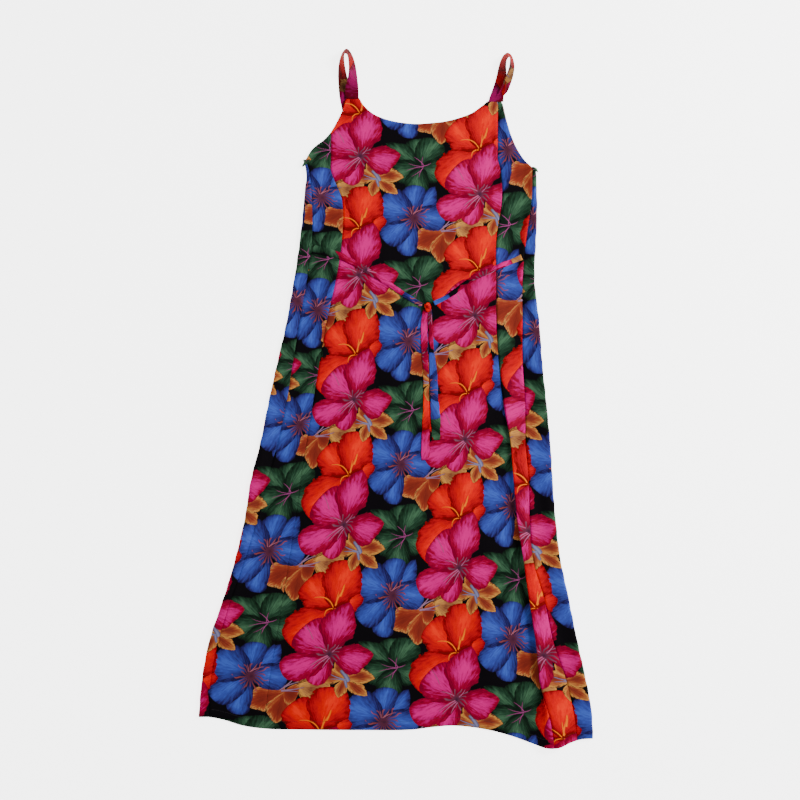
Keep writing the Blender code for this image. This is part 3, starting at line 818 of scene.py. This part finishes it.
def cluster_of_stamens(make, place, middle, count, inner, outer, twist):
    """Cover of fine lines that spread from a middle: |angle x count - its nearest whole| against
    a line's width at that radius, between an inner and an uneven outer radius."""
    spot = make.vector("SUBTRACT", place, (*middle, 0))
    radius = make.vector("LENGTH", spot, output=1)
    x, y = make.separate(spot)
    turn = make.math("MULTIPLY_ADD", make.math("ARCTAN2", y, x), count / (2 * math.pi), 0.5)
    uneven_turn = make.noise(spot, 0.06, 0)
    turn = make.math("ADD", turn, make.math("MULTIPLY", radius, twist))
    turn = make.math("MULTIPLY_ADD", uneven_turn, STAMEN_BEND, turn)
    off = make.math("ABSOLUTE", make.math("SUBTRACT", make.math("FRACT", turn), 0.5))
    apart = make.math("MULTIPLY", radius, 2 * math.pi / count)
    line = make.math("MULTIPLY_ADD", make.math("MULTIPLY", off, apart), -1.0, STAMEN_WIDTH,
                     clamp=True)
    way = make.vector("NORMALIZE", spot)
    far = make.math("MULTIPLY_ADD", make.noise(way, 2.6, 1.0), outer * 1.5, outer * 0.15)
    inside, outside = (
        make.math("MULTIPLY", make.math("SUBTRACT", *ends), STAMEN_FADE, clamp=True)
        for ends in ((far, radius), (radius, inner)))
    return make.math("MULTIPLY", line, make.math("MULTIPLY", inside, outside)), radius


def flower(make, sheet, flower_row, under):
    """One kind of flower laid over the colour under it, at every repeat of the print.

    The print coordinates are wrapped to the nearest flower's middle and turned to millimetres.
    Petals lie over each other in order. The depth of the top one is its place in the flower's row
    of colours, after streaks along rays from the middle and the darker base are worked in.
    """
    x, y = flower_row["middle"]
    place = make.vector("SUBTRACT", sheet, (*on_print(x, y), 0))
    place = make.vector("WRAP", place, (0.5, 0.5, 0.5), (-0.5, -0.5, -0.5))
    x_mm = make.vector("DOT_PRODUCT", place, (REPEAT_X, 0, 0), output=1)
    y_mm = make.vector("DOT_PRODUCT", place, (-REPEAT_STEP, -REPEAT_Y, 0), output=1)
    place = make.add("ShaderNodeCombineXYZ", {0: x_mm, 1: y_mm})
    ray = make.vector("MULTIPLY", make.vector("NORMALIZE", place), (STREAKS_AROUND,) * 3)
    radius = make.vector("LENGTH", place, output=1)
    ray = make.vector("MULTIPLY_ADD", make.add("ShaderNodeCombineXYZ", {2: radius}),
                      (0, 0, STREAKS_ALONG), ray)
    streak = make.math("SUBTRACT", make.noise(ray, 1.0, 3.0, 0.65), 0.5)
    ruffle = make.math("SUBTRACT", make.noise(place, RUFFLE_SCALE, 2.5), 0.5)
    ruffle = make.math("MULTIPLY", ruffle, flower_row["ruffle"])
    ruffle = make.math("MULTIPLY_ADD", streak, flower_row["rough"], ruffle)
    cover = tone = None
    for row in flower_row["petals"]:
        tip = dict(zip(PETAL_COLUMNS, row))
        one, depth = petal(make, place, 0, 0, tip["x"] * PETAL_REACH, tip["y"] * PETAL_REACH,
                           tip["half_width"] * PETAL_REACH, tip["bow"],
                           tip["shape"], ruffle, PETAL_EDGE)
        tone = depth if tone is None else make.mix(one, tone, depth)
        cover = one if cover is None else make.math("MAXIMUM", cover, one)
    tone = make.math("MULTIPLY_ADD", streak, flower_row["streaks"], tone)
    reach, darker = flower_row["base"]
    inner = make.math("MULTIPLY_ADD", radius, -1 / reach, 1.0, clamp=True)
    tone = make.math("MULTIPLY_ADD", inner, -darker, tone)
    colour = make.ramp(tone, dyed(flower_row["tones"], flower_row["dye"]))
    result = make.blend(cover, under, colour)
    if "cluster" in flower_row:
        facts = dict(flower_row["cluster"])
        tones = facts.pop("tones")
        lines, far = cluster_of_stamens(make, place, **facts)
        shade = make.ramp(make.math("MULTIPLY", far, 1 / facts["outer"]),
                          dyed(tones, flower_row["dye"]))
        result = make.blend(lines, result, shade)
    lines = shade = None
    for row in flower_row["lines"]:
        facts = dict(zip(LINE_COLUMNS, row))
        one, depth = petal(make, place, shape="line", ruffle=None, edge=LINE_EDGE, **facts)
        shade = depth if shade is None else make.mix(one, shade, depth)
        lines = one if lines is None else make.math("MAXIMUM", lines, one)
    if lines is not None:
        shade = make.ramp(shade, dyed(flower_row["line_tones"], flower_row["dye"]))
        result = make.blend(lines, result, shade)
    return result


def print_group():
    """The flower print as a node group: from print coordinates to a colour."""
    name = "Flower print"
    if name in bpy.data.node_groups:
        return bpy.data.node_groups[name]
    group = bpy.data.node_groups.new(name, "ShaderNodeTree")
    group.interface.new_socket("Place", in_out="INPUT", socket_type="NodeSocketVector")
    group.interface.new_socket("Colour", in_out="OUTPUT", socket_type="NodeSocketColor")
    make = Nodes(group)
    sheet = group.nodes.new("NodeGroupInput").outputs[0]
    colour = (*GROUND, 1)
    for row in FLOWERS:
        colour = flower(make, sheet, row, colour)
    group.links.new(colour, group.nodes.new("NodeGroupOutput").inputs[0])
    return group


def new_material(name):
    """A new material, with its node maker and its shader."""
    material = bpy.data.materials.new(name)
    material.use_nodes = True
    return material, Nodes(material.node_tree), material.node_tree.nodes["Principled BSDF"]


def cloth_material(name, wrong_side=False, depth=1.0):
    """Printed woven cloth: the print, a fine plain weave and soft crinkles; the wrong side shows
    the print paler, and a depth under 1 darkens the whole colour as painted shade."""
    if name in bpy.data.materials:
        return bpy.data.materials[name]
    cloth = bpy.context.scene.dress_cloth
    material, make, shader = new_material(name)
    place = make.add("ShaderNodeUVMap", {}, uv_map="Print")
    colour = make.add("ShaderNodeGroup", {0: place}, node_tree=print_group())
    if wrong_side:
        colour = make.blend(WRONG_SIDE_SHARE, colour, WRONG_SIDE_COLOUR)
    spot = make.add("ShaderNodeTexCoord", {}, "Object")
    spread = make.noise(spot, 9.0, 3.0)
    # depth scales the dye's value: under 1 it is painted shade, the whole colour made darker
    value = make.math("MULTIPLY_ADD", spread, DYE_SPREAD * depth, DYE_LEAST * depth)
    colour = make.add("ShaderNodeHueSaturation", {"Value": value, "Color": colour})
    make.tree.links.new(colour, shader.inputs["Base Color"])
    shader.inputs["Roughness"].default_value = cloth.roughness
    shader.inputs["Sheen Weight"].default_value = cloth.sheen
    shader.inputs["Sheen Roughness"].default_value = 0.4
    shader.inputs["Specular IOR Level"].default_value = cloth.gloss
    turn = 2 * math.pi / cloth.thread_pitch
    threads = [make.math("SINE", make.math("MULTIPLY", way, turn)) for way in make.separate(spot)]
    weave = make.math("MULTIPLY", *threads)
    crinkle = make.noise(spot, CRINKLE_SCALE, 3.0, 0.55)
    soft = make.add("ShaderNodeBump", {"Strength": 0.35, "Distance": CRINKLE_HEIGHT,
                                       "Height": crinkle})
    fine = make.add("ShaderNodeBump", {"Strength": 0.12, "Distance": WEAVE_HEIGHT,
                                       "Height": weave, "Normal": soft})
    make.tree.links.new(fine, shader.inputs["Normal"])
    return material


def finish_cloth(piece, node, thickness=None, depth=1.0):
    """Materials, wall and frame calls of a cloth piece. A depth under 1 gives painted shade: a
    darker copy of the printed cloth.
    """
    name = "Printed cloth" if depth == 1.0 else "Printed cloth, deeper dye"
    piece.data.materials.append(cloth_material(name, depth=depth))
    if thickness:
        piece.data.materials.append(cloth_material("Printed cloth, wrong side", True))
        wall = piece.modifiers.new("Cloth thickness", "SOLIDIFY")
        wall.thickness = thickness
        wall.offset = -1
        wall.material_offset = 1
        wall.material_offset_rim = 0
    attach(piece, BODY)
    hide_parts(node)


def rows_of(top, hem, shares):
    """y of each row of points, from the top edge to the hem, for each column."""
    return top + (hem - top) * shares[:, None]


def rolled_edges(face, top, hem, y):
    """The face with its top edge and hem rolled down, a swell beside each, and a shallow line
    above the hem's turn."""
    from_top = np.maximum(top - y, 0)
    from_hem = np.maximum(y - hem, 0)
    drop = EDGE_TURN * (np.exp(-from_top / EDGE_ROLL) + np.exp(-from_hem / EDGE_ROLL))
    swell = bump(from_top, *TOP_SWELL) + bump(from_hem, *HEM_SWELL)
    face = face.copy()
    face[..., 2] += swell - drop - bump(from_hem, *HEM_LINE)
    return face


def front_panel(name, left_seam, right_seam, columns):
    """A front panel between two seams: rows from the top edge to the hem, columns that spread
    from the top edge to the hem as the panel widens."""
    high = TOP_EDGE[:, 1].max()
    left_top, right_top = station(left_seam, high), station(right_seam, high)
    across = crowded(columns, COLUMN_CROWDING)
    tops = left_top + (right_top - left_top) * across
    hem_x = station(left_seam, LOWEST) * (1 - across) + station(right_seam, LOWEST) * across
    y = rows_of(top_of(tops), hem_of(hem_x), crowded(FRONT_ROWS, ROW_CROWDING))
    left, right = station(left_seam, y) - SEAM_LAP / 2, station(right_seam, y) + SEAM_LAP / 2
    x = left + (right - left) * across
    face = rolled_edges(laid(x, y), y[:1], y[-1:], y)
    piece = grid_mesh("cloth_" + name, [(face, print_at(x, y, name), False, False)])
    finish_cloth(piece, name, bpy.context.scene.dress_cloth.thickness * MM)


def side_turn(side, y):
    """The half circle in which the cloth turns round a side edge: its radius and middle."""
    edge = station(side + "_edge", y)
    radius = solid_height(edge, y) / 2
    return radius, edge + INWARD[side] * radius


def half_back(side):
    """Half of the back, from its side seam round the side edge to the middle of the back.

    A section is a strip on top of the dress, half a circle as high as the cloth at the edge, and
    a level layer on the floor. Print coordinates follow the cloth's own width round the turn.
    """
    sign, other, panel = INWARD[side], OTHER[side], "back_" + side
    shares = crowded(BACK_ROWS, ROW_CROWDING)
    corner = TOP_EDGE[0 if side == "left" else -1]
    edge_hem, seam_hem = station(side + "_edge", LOWEST), station(side + "_side", LOWEST)

    share = np.linspace(0, 1, STRIP_POINTS, endpoint=False)
    y = rows_of(corner[1], hem_of(seam_hem * (1 - share) + edge_hem * share), shares)
    radius, middle = side_turn(side, y)
    start = station(side + "_side", y) + sign * SEAM_LAP / 2
    x = start + (middle - start) * share
    strip = laid(x, y)
    strip[..., 2] += (2 * radius - strip[..., 2]) * share ** 3
    strip = rolled_edges(strip, y[:1], y[-1:], y)
    strip_uv = print_at(x, y, panel)

    angle = math.pi * np.linspace(0, 1, TURN_POINTS)
    y = rows_of(corner[1], hem_of(np.full(TURN_POINTS, edge_hem)), shares)
    radius, middle = side_turn(side, y)
    wave = EDGE_WAVE * uneven(y, EDGE_WAVE_PITCH, sign) * np.sin(angle) ** 2
    turn = np.stack([middle - sign * (radius + wave) * np.sin(angle), y,
                     radius + radius * np.cos(angle)], axis=-1)
    turn_uv = print_at(middle - sign * radius * angle, y, panel)

    share = np.linspace(0, 0.5, FLAT_POINTS + 1)[1:]
    top_x = corner[0] + (TOP_EDGE[-1, 0] - TOP_EDGE[0, 0]) * share * sign
    hem_x = edge_hem + (station(other + "_edge", LOWEST) - edge_hem) * share
    y = rows_of(top_of(top_x) - BACK_INSET, hem_of(hem_x) + BACK_INSET, shares)
    near, far = side_turn(side, y)[1], side_turn(other, y)[1]
    x = near + (far - near) * share + sign * (share == 0.5) * SEAM_LAP / 2
    lift = 0.25 * (1 + uneven(x + 0.4 * y, 90, 2.0) * uneven(y, 150, 0.7))
    seam_away = np.abs(x - (near + (far - near) * 0.5))
    flat = np.stack([x, y, np.clip(lift, 0, 1) * (1 - bell(seam_away, 12))
                     + SEAM_RAISE * bell(seam_away, SEAM_ROLL)], axis=-1)
    around = near - sign * math.pi * np.abs(near - station(side + "_edge", y))
    flat_uv = print_at(around - (x - near), y, panel)
    points = np.concatenate([strip, turn, flat], axis=1)
    uv = np.concatenate([strip_uv, turn_uv, flat_uv], axis=1)
    return points, uv, sign > 0, False


def ribbon_uv(cut, along, across):
    """Print coordinates of a ribbon that was cut from flat cloth: `cut` gives where it starts, in
    millimetres off an orange flower, and the direction that it runs in."""
    x, y, degrees = cut
    turn = math.radians(degrees)
    return on_print(x + along * math.cos(turn) - across * math.sin(turn),
                    y + along * math.sin(turn) + across * math.cos(turn))


SECTION = np.linspace(0, 2 * math.pi, 21)  # angles round the section of a strap or a tie
MIDDLE_SHARE = 0.75  # its thickness in the middle, as a share of that at its folded edges


def flat_section(thickness):
    """Section of a pressed tube: across from -1 to 1 and up from -1 to 1, on a rounded oblong,
    thicker at its two folded edges than in its middle."""
    across = np.sign(np.cos(SECTION)) * np.abs(np.cos(SECTION)) ** 0.7
    up = np.sign(np.sin(SECTION)) * np.abs(np.sin(SECTION)) ** 0.6
    return across, up * thickness / 2 * (MIDDLE_SHARE + (1 - MIDDLE_SHARE) * across ** 2)


def through(table, columns, count):
    """Smooth columns through a table's rows, `count` places evenly spread over the rows."""
    keyed = np.column_stack([np.arange(len(table)), table])
    names = ("row",) + columns
    at = np.linspace(0, len(table) - 1, count)
    return [smooth(keyed, names, name, at) for name in columns]


def run_of(points):
    """Distance along a line of points."""
    return np.concatenate([[0], np.cumsum(np.linalg.norm(np.diff(points, axis=0), axis=1))])


def face_out(piece):
    """Turns a closed piece's faces outwards."""
    held = bmesh.new()
    held.from_mesh(piece.data)
    bmesh.ops.recalc_face_normals(held, faces=held.faces)
    held.to_mesh(piece.data)
    held.free()


def tubes(name, parts):
    """A mesh object of closed tubes, from the points and print coordinates of each."""
    piece = grid_mesh(name, [(points[:, :-1], uv, False, True) for points, uv in parts])
    face_out(piece)
    return piece


def strap(name, table, gathers):
    """A strap: a pressed tube between two edge curves, standing up in a loop.

    Its middle is half way between the curves and half a thickness behind them; the section's
    width follows the curves and its thickness their normal. A soft crease runs along it, and
    gathers ripple it near the base.
    """
    edges = through(table, STRAP_COLUMNS, STRAP_SECTIONS)
    outer, inner = np.stack(edges[:3], axis=1), np.stack(edges[3:], axis=1)
    inner = outer + (inner - outer) * STRAP_FULLNESS
    middle, half = (outer + inner) / 2, (inner - outer) / 2
    normal = unit(np.cross(np.gradient(middle, axis=0), half))
    normal *= np.sign(normal[:1, 2:3])
    run = run_of(middle)
    across, up = flat_section(STRAP_THICKNESS)
    from_end = np.minimum(run, run[-1] - run)[:, None]
    wander = 0.15 * uneven(run, 70, 2)[:, None]
    crease = -STRAP_CREASE * bell(across - wander, STRAP_CREASE_REACH)
    pleats = gathers * np.cos(across * GATHER_TURNS) * bell(from_end, GATHER_REACH)
    wave = 0.25 * uneven(run, 23, 1.1)[:, None] * across
    rise = up + (crease + pleats + wave) * (1 - np.abs(across) ** 3)
    middle = middle - normal * STRAP_THICKNESS / 2
    points = (middle[:, None] + half[:, None] * across[:, None]
              + normal[:, None] * rise[..., None])
    lap, tuck = (np.clip(1 - away / STRAP_LAP_LENGTH, 0, 1)[:, None] ** 1.5
                 for away in (run, run[-1] - run))
    points[..., 1] -= STRAP_LAP * (lap + tuck)
    points[..., 2] += STRAP_LAP_LIFT * lap
    width = 2 * np.linalg.norm(half, axis=1)
    uv = ribbon_uv(CUTS[name], run[:, None], across * width[:, None] / 2)
    piece = tubes("cloth_" + name, [(points, uv)])
    # painted shade: the straps get a darker copy of the printed cloth
    finish_cloth(piece, name, depth=STRAP_PAINTED_SHADE)


def tie(name):
    """A tie: a narrow pressed tube that lies on the front.

    Its middle line runs through the table's places; its underside follows the cloth below, its
    top is crowned, and the crown wanders from side to side as the tube rolls a little.
    """
    x, y, width = through(TIES[name], TIE_COLUMNS, TIE_SECTIONS * len(TIES[name]))
    middle = np.stack([x, y], axis=1)
    run = run_of(middle)
    way = unit(np.gradient(middle, axis=0))
    across, up = flat_section(1.0)
    width = width * TIE_FULLNESS * (1 + 0.06 * uneven(run, 31, 0.7))
    side = across * width[:, None] / 2
    px = x[:, None] - way[:, 1:] * side
    py = y[:, None] + way[:, :1] * side
    under = np.max([cloth_height(px + dx, py + dy) for dx, dy in TIE_FEELERS], axis=0) + TIE_GAP
    roll = across - 0.35 * uneven(run, 58, 1.9)[:, None]
    crown = TIE_THICKNESS * (1.0 - 0.35 * roll ** 2 + 0.12 * uneven(run, 11, 0.2)[:, None])
    crease = bump(roll, 0.35, 0.3, 0.16)
    points = np.stack([px, py, under + np.clip(crown - crease, *TIE_HEIGHTS) * (up + 0.5)], axis=-1)
    piece = tubes("cloth_" + name, [(points, ribbon_uv(CUTS[name], run[:, None], side))])
    finish_cloth(piece, name)


def knot():
    """The knot: a creased lump of the two ties, and the turn of tie that wraps over it.

    The lump is a flattened ball whose radius is grooved along its length. The turn is a pressed
    tube on half an ellipse over the lump.
    """
    kx, ky = KNOT_MIDDLE
    base = float(cloth_height(np.array([kx]), np.array([ky]))[0]) + TIE_GAP
    rise = np.linspace(0.02, math.pi - 0.02, 25)[:, None]
    around = np.linspace(0, 2 * math.pi, 33)
    groove = 1 + 0.07 * np.cos(5 * around + 0.6) * np.sin(rise) + 0.04 * np.cos(9 * around)
    wide, long, high = LUMP
    lump = np.stack([
        kx + wide * groove * np.sin(rise) ** 0.8 * np.cos(around),
        ky - long * np.cos(rise) + 0 * around,
        base + high + high * groove * np.sin(rise) ** 0.8 * np.sin(around),
    ], axis=-1)
    lump_uv = ribbon_uv(CUTS["knot_lump"], 10 * np.cos(rise) + 0 * around,
                        8 * np.cos(around) + 0 * rise)
    over = np.linspace(-0.12, math.pi + 0.12, 31)[:, None]
    across, up = flat_section(WRAP_THICKNESS)
    wide = WRAP_HALF_WIDTH * (1 - 0.2 * np.sin(over) ** 2)
    radius = 1 + up / 7
    top = base + WRAP_HEIGHT * radius * np.sin(over) + 0.7 + up * 0.3
    wrap = np.stack([
        kx - WRAP_REACH * radius * np.cos(over) + 0 * across,
        ky + 1.0 + WRAP_TILT * np.cos(over) + across * wide,
        np.maximum(base + 0.4 + up * 0.2, top),
    ], axis=-1)
    wrap_uv = ribbon_uv(CUTS["knot_wrap"], 11 * over + 0 * across, across * wide)
    piece = tubes("cloth_tie_knot", [(lump, lump_uv), (wrap, wrap_uv)])
    finish_cloth(piece, "tie_knot")


def underarm_roll(name, path, radius):
    """A short roll of cloth where an armhole's edge turns under the arm: a tube with a spiral
    groove, thinner at both ends."""
    at = np.linspace(0, 1, ROLL_SECTIONS)
    rows = np.linspace(0, 1, len(path))
    middle = np.stack([np.interp(at, rows, axis) for axis in np.array(path, float).T], axis=1)
    way = unit(np.gradient(middle, axis=0))
    side = unit(np.cross(way, (0, 0, 1.0)))
    rise = np.cross(side, way)
    taper = 0.25 + 0.75 * np.sin(math.pi * np.clip(at, 0.04, 0.96)) ** 0.6
    size = radius * taper[:, None] * (1 + ROLL_GROOVE * np.cos(3 * SECTION + 5 * at[:, None]))
    points = (middle[:, None] + side[:, None] * (size * np.cos(SECTION))[..., None]
              + rise[:, None] * (size * np.sin(SECTION))[..., None])
    uv = ribbon_uv(CUTS[name], at[:, None] * 16 + 0 * SECTION, radius * SECTION + 0 * at[:, None])
    piece = tubes(name, [(points, uv)])
    piece.data.materials.append(cloth_material("Printed cloth"))
    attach(piece, BODY)
    return piece


def thread_material():
    """Dull dark thread with a fine twist."""
    material, make, shader = new_material("Dark thread")
    twist = make.noise(make.add("ShaderNodeTexCoord", {}, "Object"), 2600.0, 1.0)
    shade = make.ramp(twist, ((0.3, (0.004, 0.002, 0.005)), (0.7, (0.03, 0.02, 0.03))))
    make.tree.links.new(shade, shader.inputs["Base Color"])
    shader.inputs["Roughness"].default_value = 0.6
    return material


def stitches(name, path, sunk):
    """A run of stitches: each is a short flat prism that lies along the path on the cloth's face,
    `sunk` below it in the groove that it pulls, with a gap before the next."""
    sewing = bpy.context.scene.dress_sewing
    run = run_of(path)
    starts = np.arange(0, run[-1] - sewing.stitch_length, sewing.stitch_length + sewing.stitch_gap)
    a, b = (np.stack([np.interp(at, run, axis) for axis in path.T], axis=1)
            for at in (starts, starts + sewing.stitch_length))
    way = unit(b - a)
    side = np.stack([-way[:, 1], way[:, 0]], axis=1) * sewing.thread / 2
    corners = np.stack([a - side, a + side, b + side, b - side], axis=1)
    inner = corners * 0.9 + corners.mean(axis=1, keepdims=True) * 0.1
    bottom = laid(corners[..., 0], corners[..., 1]) - (0, 0, sunk)
    top = laid(inner[..., 0], inner[..., 1]) + (0, 0, sewing.thread * 0.7 + 0.12 - sunk)
    points = np.concatenate([bottom, top], axis=1)
    box = np.array([(0, 1, 2, 3), (7, 6, 5, 4), (0, 4, 5, 1), (1, 5, 6, 2), (2, 6, 7, 3),
                    (3, 7, 4, 0)])
    faces = (np.arange(len(points))[:, None, None] * 8 + box).reshape(-1, 4)
    mesh = bpy.data.meshes.new(name)
    mesh.from_pydata((points.reshape(-1, 3) * MM).tolist(), [], faces.tolist())
    piece = placed(name, mesh)
    face_out(piece)
    mesh.materials.append(thread_material())
    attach(piece, BODY)
    return piece


def main():
    register()
    bpy.ops.dress.stage()
    bpy.ops.dress.back()
    bpy.ops.dress.front()
    bpy.ops.dress.straps()
    bpy.ops.dress.ties()
    bpy.ops.dress.hem_stitches()


class DressCloth(bpy.types.PropertyGroup):
    """The cloth that every piece is cut from."""
    thickness: bpy.props.FloatProperty(
        name="Thickness", description="Thickness of one layer, in millimetres", default=0.8)
    thread_pitch: bpy.props.FloatProperty(
        name="Thread pitch", description="Distance between threads", default=0.0005,
        unit="LENGTH", precision=5)
    roughness: bpy.props.FloatProperty(
        name="Roughness", description="How dull the cloth is", default=0.72, subtype="FACTOR")
    sheen: bpy.props.FloatProperty(
        name="Sheen", description="Soft light on the fibres", default=0.01, subtype="FACTOR")
    gloss: bpy.props.FloatProperty(
        name="Gloss", description="Strength of the surface's own reflection", default=0.05,
        subtype="FACTOR")


def tint(name):
    """A tint property for one dye of the print."""
    return bpy.props.FloatVectorProperty(
        name=name, description="Colour that multiplies this dye in the print", size=3,
        default=(1.0, 1.0, 1.0), subtype="COLOR", min=0, max=1)


class DressPrint(bpy.types.PropertyGroup):
    """Tints of the flower print's dyes."""
    green: tint("Green flowers")
    tan: tint("Tan flowers")
    rust: tint("Rust flowers")
    blue: tint("Blue flowers")
    orange: tint("Orange flowers")
    magenta: tint("Magenta flowers")


class DressSewing(bpy.types.PropertyGroup):
    """The hem's stitches, in millimetres."""
    stitch_length: bpy.props.FloatProperty(
        name="Stitch length", description="Length of one stitch, in millimetres", default=2.4)
    stitch_gap: bpy.props.FloatProperty(
        name="Gap", description="Gap between two stitches, in millimetres", default=0.9)
    thread: bpy.props.FloatProperty(
        name="Thread", description="Thickness of the thread, in millimetres", default=0.35)


class DressStage(bpy.types.PropertyGroup):
    """Floor, lights and camera."""
    lens: bpy.props.FloatProperty(
        name="Lens", description="Focal length of the camera, in millimetres", default=85.0)
    view_width: bpy.props.FloatProperty(
        name="View width", description="Width of floor that the picture shows", default=1.6,
        unit="LENGTH")
    floor_colour: bpy.props.FloatVectorProperty(
        name="Floor", description="Colour of the floor", size=3, default=(0.9, 0.9, 0.9),
        subtype="COLOR", min=0, max=1)
    sky: bpy.props.FloatProperty(
        name="Sky", description="Strength of the light from all round", default=0.5)
    glow: bpy.props.FloatProperty(
        name="Floor glow", description="Strength of the light that the floor gives", default=4.2)
    key: bpy.props.FloatProperty(
        name="Key light", description="Power of the large light", default=116.0, unit="POWER")


CAMERA_X, CAMERA_Y = 0.008, -0.004  # metres
SENSOR = 36.0  # width of the camera's sensor, in millimetres
FLOOR_HALF = 40.0  # metres
# Lights: place and size in metres, power as a share of the key light's.
LIGHT_COLUMNS = ("name", "place", "size", "share")
LIGHTS = (
    ("key light", (2.1, 1.0, 1.8), 0.9, 1.0),
    ("fill light", (-1.7, -0.6, 2.2), 2.4, 0.1),
)


class DRESS_OT_stage(bpy.types.Operator):
    """Makes the pale floor, the soft lights and the camera straight above."""
    bl_idname = "dress.stage"
    bl_label = "Make the stage"

    def execute(self, context):
        stage = context.scene.dress_stage
        mesh = bpy.data.meshes.new("floor")
        corners = [(x * FLOOR_HALF, y * FLOOR_HALF, 0)
                   for x, y in ((-1, -1), (1, -1), (1, 1), (-1, 1))]
        mesh.from_pydata(corners, [], [(0, 1, 2, 3)])
        floor = placed("floor", mesh)
        material, _, shader = new_material("Pale floor")
        shader.inputs["Base Color"].default_value = (*stage.floor_colour, 1)
        shader.inputs["Emission Color"].default_value = (1, 1, 1, 1)
        shader.inputs["Emission Strength"].default_value = stage.glow
        shader.inputs["Roughness"].default_value = 0.9
        shader.inputs["Specular IOR Level"].default_value = 0.1
        mesh.materials.append(material)
        world = bpy.data.worlds.new("Soft white room")
        world.use_nodes = True
        light = world.node_tree.nodes["Background"]
        light.inputs["Color"].default_value = (1, 1, 1, 1)
        light.inputs["Strength"].default_value = stage.sky
        context.scene.world = world
        for row in LIGHTS:
            facts = dict(zip(LIGHT_COLUMNS, row))
            lamp = bpy.data.lights.new(facts["name"], "AREA")
            lamp.energy = stage.key * facts["share"]
            lamp.size = facts["size"]
            lamp_object = placed(facts["name"], lamp)
            lamp_object.location = facts["place"]
            aim = -lamp_object.location
            lamp_object.rotation_euler = aim.to_track_quat("-Z", "Y").to_euler()
        camera = bpy.data.cameras.new("camera")
        camera.lens = stage.lens
        camera.sensor_width = SENSOR
        viewer = placed("camera", camera)
        viewer.location = (CAMERA_X, CAMERA_Y, stage.view_width * stage.lens / SENSOR)
        context.scene.camera = viewer
        return {"FINISHED"}


class DRESS_OT_front(bpy.types.Operator):
    """Makes the three front panels."""
    bl_idname = "dress.front"
    bl_label = "Make the front"

    def execute(self, context):
        front_panel("centre_front", "left_princess", "right_princess", 142)
        front_panel("side_front_left", "left_side", "left_princess", 34)
        front_panel("side_front_right", "right_princess", "right_side", 26)
        return {"FINISHED"}


class DRESS_OT_back(bpy.types.Operator):
    """Makes the back, which wraps round both side edges, and the rolls at its underarms."""
    bl_idname = "dress.back"
    bl_label = "Make the back"

    def execute(self, context):
        halves = [half_back(side) for side in INWARD]
        piece = grid_mesh("cloth_back", halves)
        finish_cloth(piece, "back", context.scene.dress_cloth.thickness * MM)
        rolls = [underarm_roll(name, *facts) for name, facts in ROLLS.items()]
        return {"FINISHED"}


class DRESS_OT_straps(bpy.types.Operator):
    """Makes the two straps."""
    bl_idname = "dress.straps"
    bl_label = "Make the straps"

    def execute(self, context):
        strap("strap_left", STRAP_LEFT, 0.25)
        strap("strap_right", STRAP_RIGHT, 0.55)
        return {"FINISHED"}


class DRESS_OT_ties(bpy.types.Operator):
    """Makes the two waist ties, their loose ends and the knot."""
    bl_idname = "dress.ties"
    bl_label = "Make the ties"

    def execute(self, context):
        for name in TIES:
            tie(name)
        knot()
        return {"FINISHED"}


class DRESS_OT_hem_stitches(bpy.types.Operator):
    """Makes the row of stitches that holds the turned-up hem."""
    bl_idname = "dress.hem_stitches"
    bl_label = "Make the hem stitches"

    def execute(self, context):
        x = np.arange(*STITCH_ENDS, 3.0)
        row = stitches("hem_stitches", np.stack([x, hem_of(x) + HEM_TURN], axis=1), STITCH_SUNK)
        if not row.data.polygons:
            raise RuntimeError("The hem has no stitches: the stitch length is too great.")
        return {"FINISHED"}


class DRESS_PT_pieces(bpy.types.Panel):
    """The dress's settings and its pieces, in the order that they are made."""
    bl_idname = "DRESS_PT_pieces"
    bl_label = "Maxi dress"
    bl_space_type = "VIEW_3D"
    bl_region_type = "UI"
    bl_category = "Dress"

    def draw(self, context):
        for settings in (context.scene.dress_cloth, context.scene.dress_print,
                         context.scene.dress_sewing, context.scene.dress_stage):
            box = self.layout.box()
            for name in settings.__annotations__:
                box.prop(settings, name)
        for operator in OPERATORS:
            self.layout.operator(operator.bl_idname)


OPERATORS = (
    DRESS_OT_stage, DRESS_OT_back, DRESS_OT_front, DRESS_OT_straps, DRESS_OT_ties,
    DRESS_OT_hem_stitches,
)
CLASSES = (DressCloth, DressPrint, DressSewing, DressStage) + OPERATORS + (DRESS_PT_pieces,)


def register():
    for item in CLASSES:
        bpy.utils.register_class(item)
    bpy.types.Scene.dress_cloth = bpy.props.PointerProperty(type=DressCloth)
    bpy.types.Scene.dress_print = bpy.props.PointerProperty(type=DressPrint)
    bpy.types.Scene.dress_sewing = bpy.props.PointerProperty(type=DressSewing)
    bpy.types.Scene.dress_stage = bpy.props.PointerProperty(type=DressStage)


def unregister():
    del bpy.types.Scene.dress_stage
    del bpy.types.Scene.dress_sewing
    del bpy.types.Scene.dress_print
    del bpy.types.Scene.dress_cloth
    for item in reversed(CLASSES):
        bpy.utils.unregister_class(item)


if __name__ == "__main__":
    main()
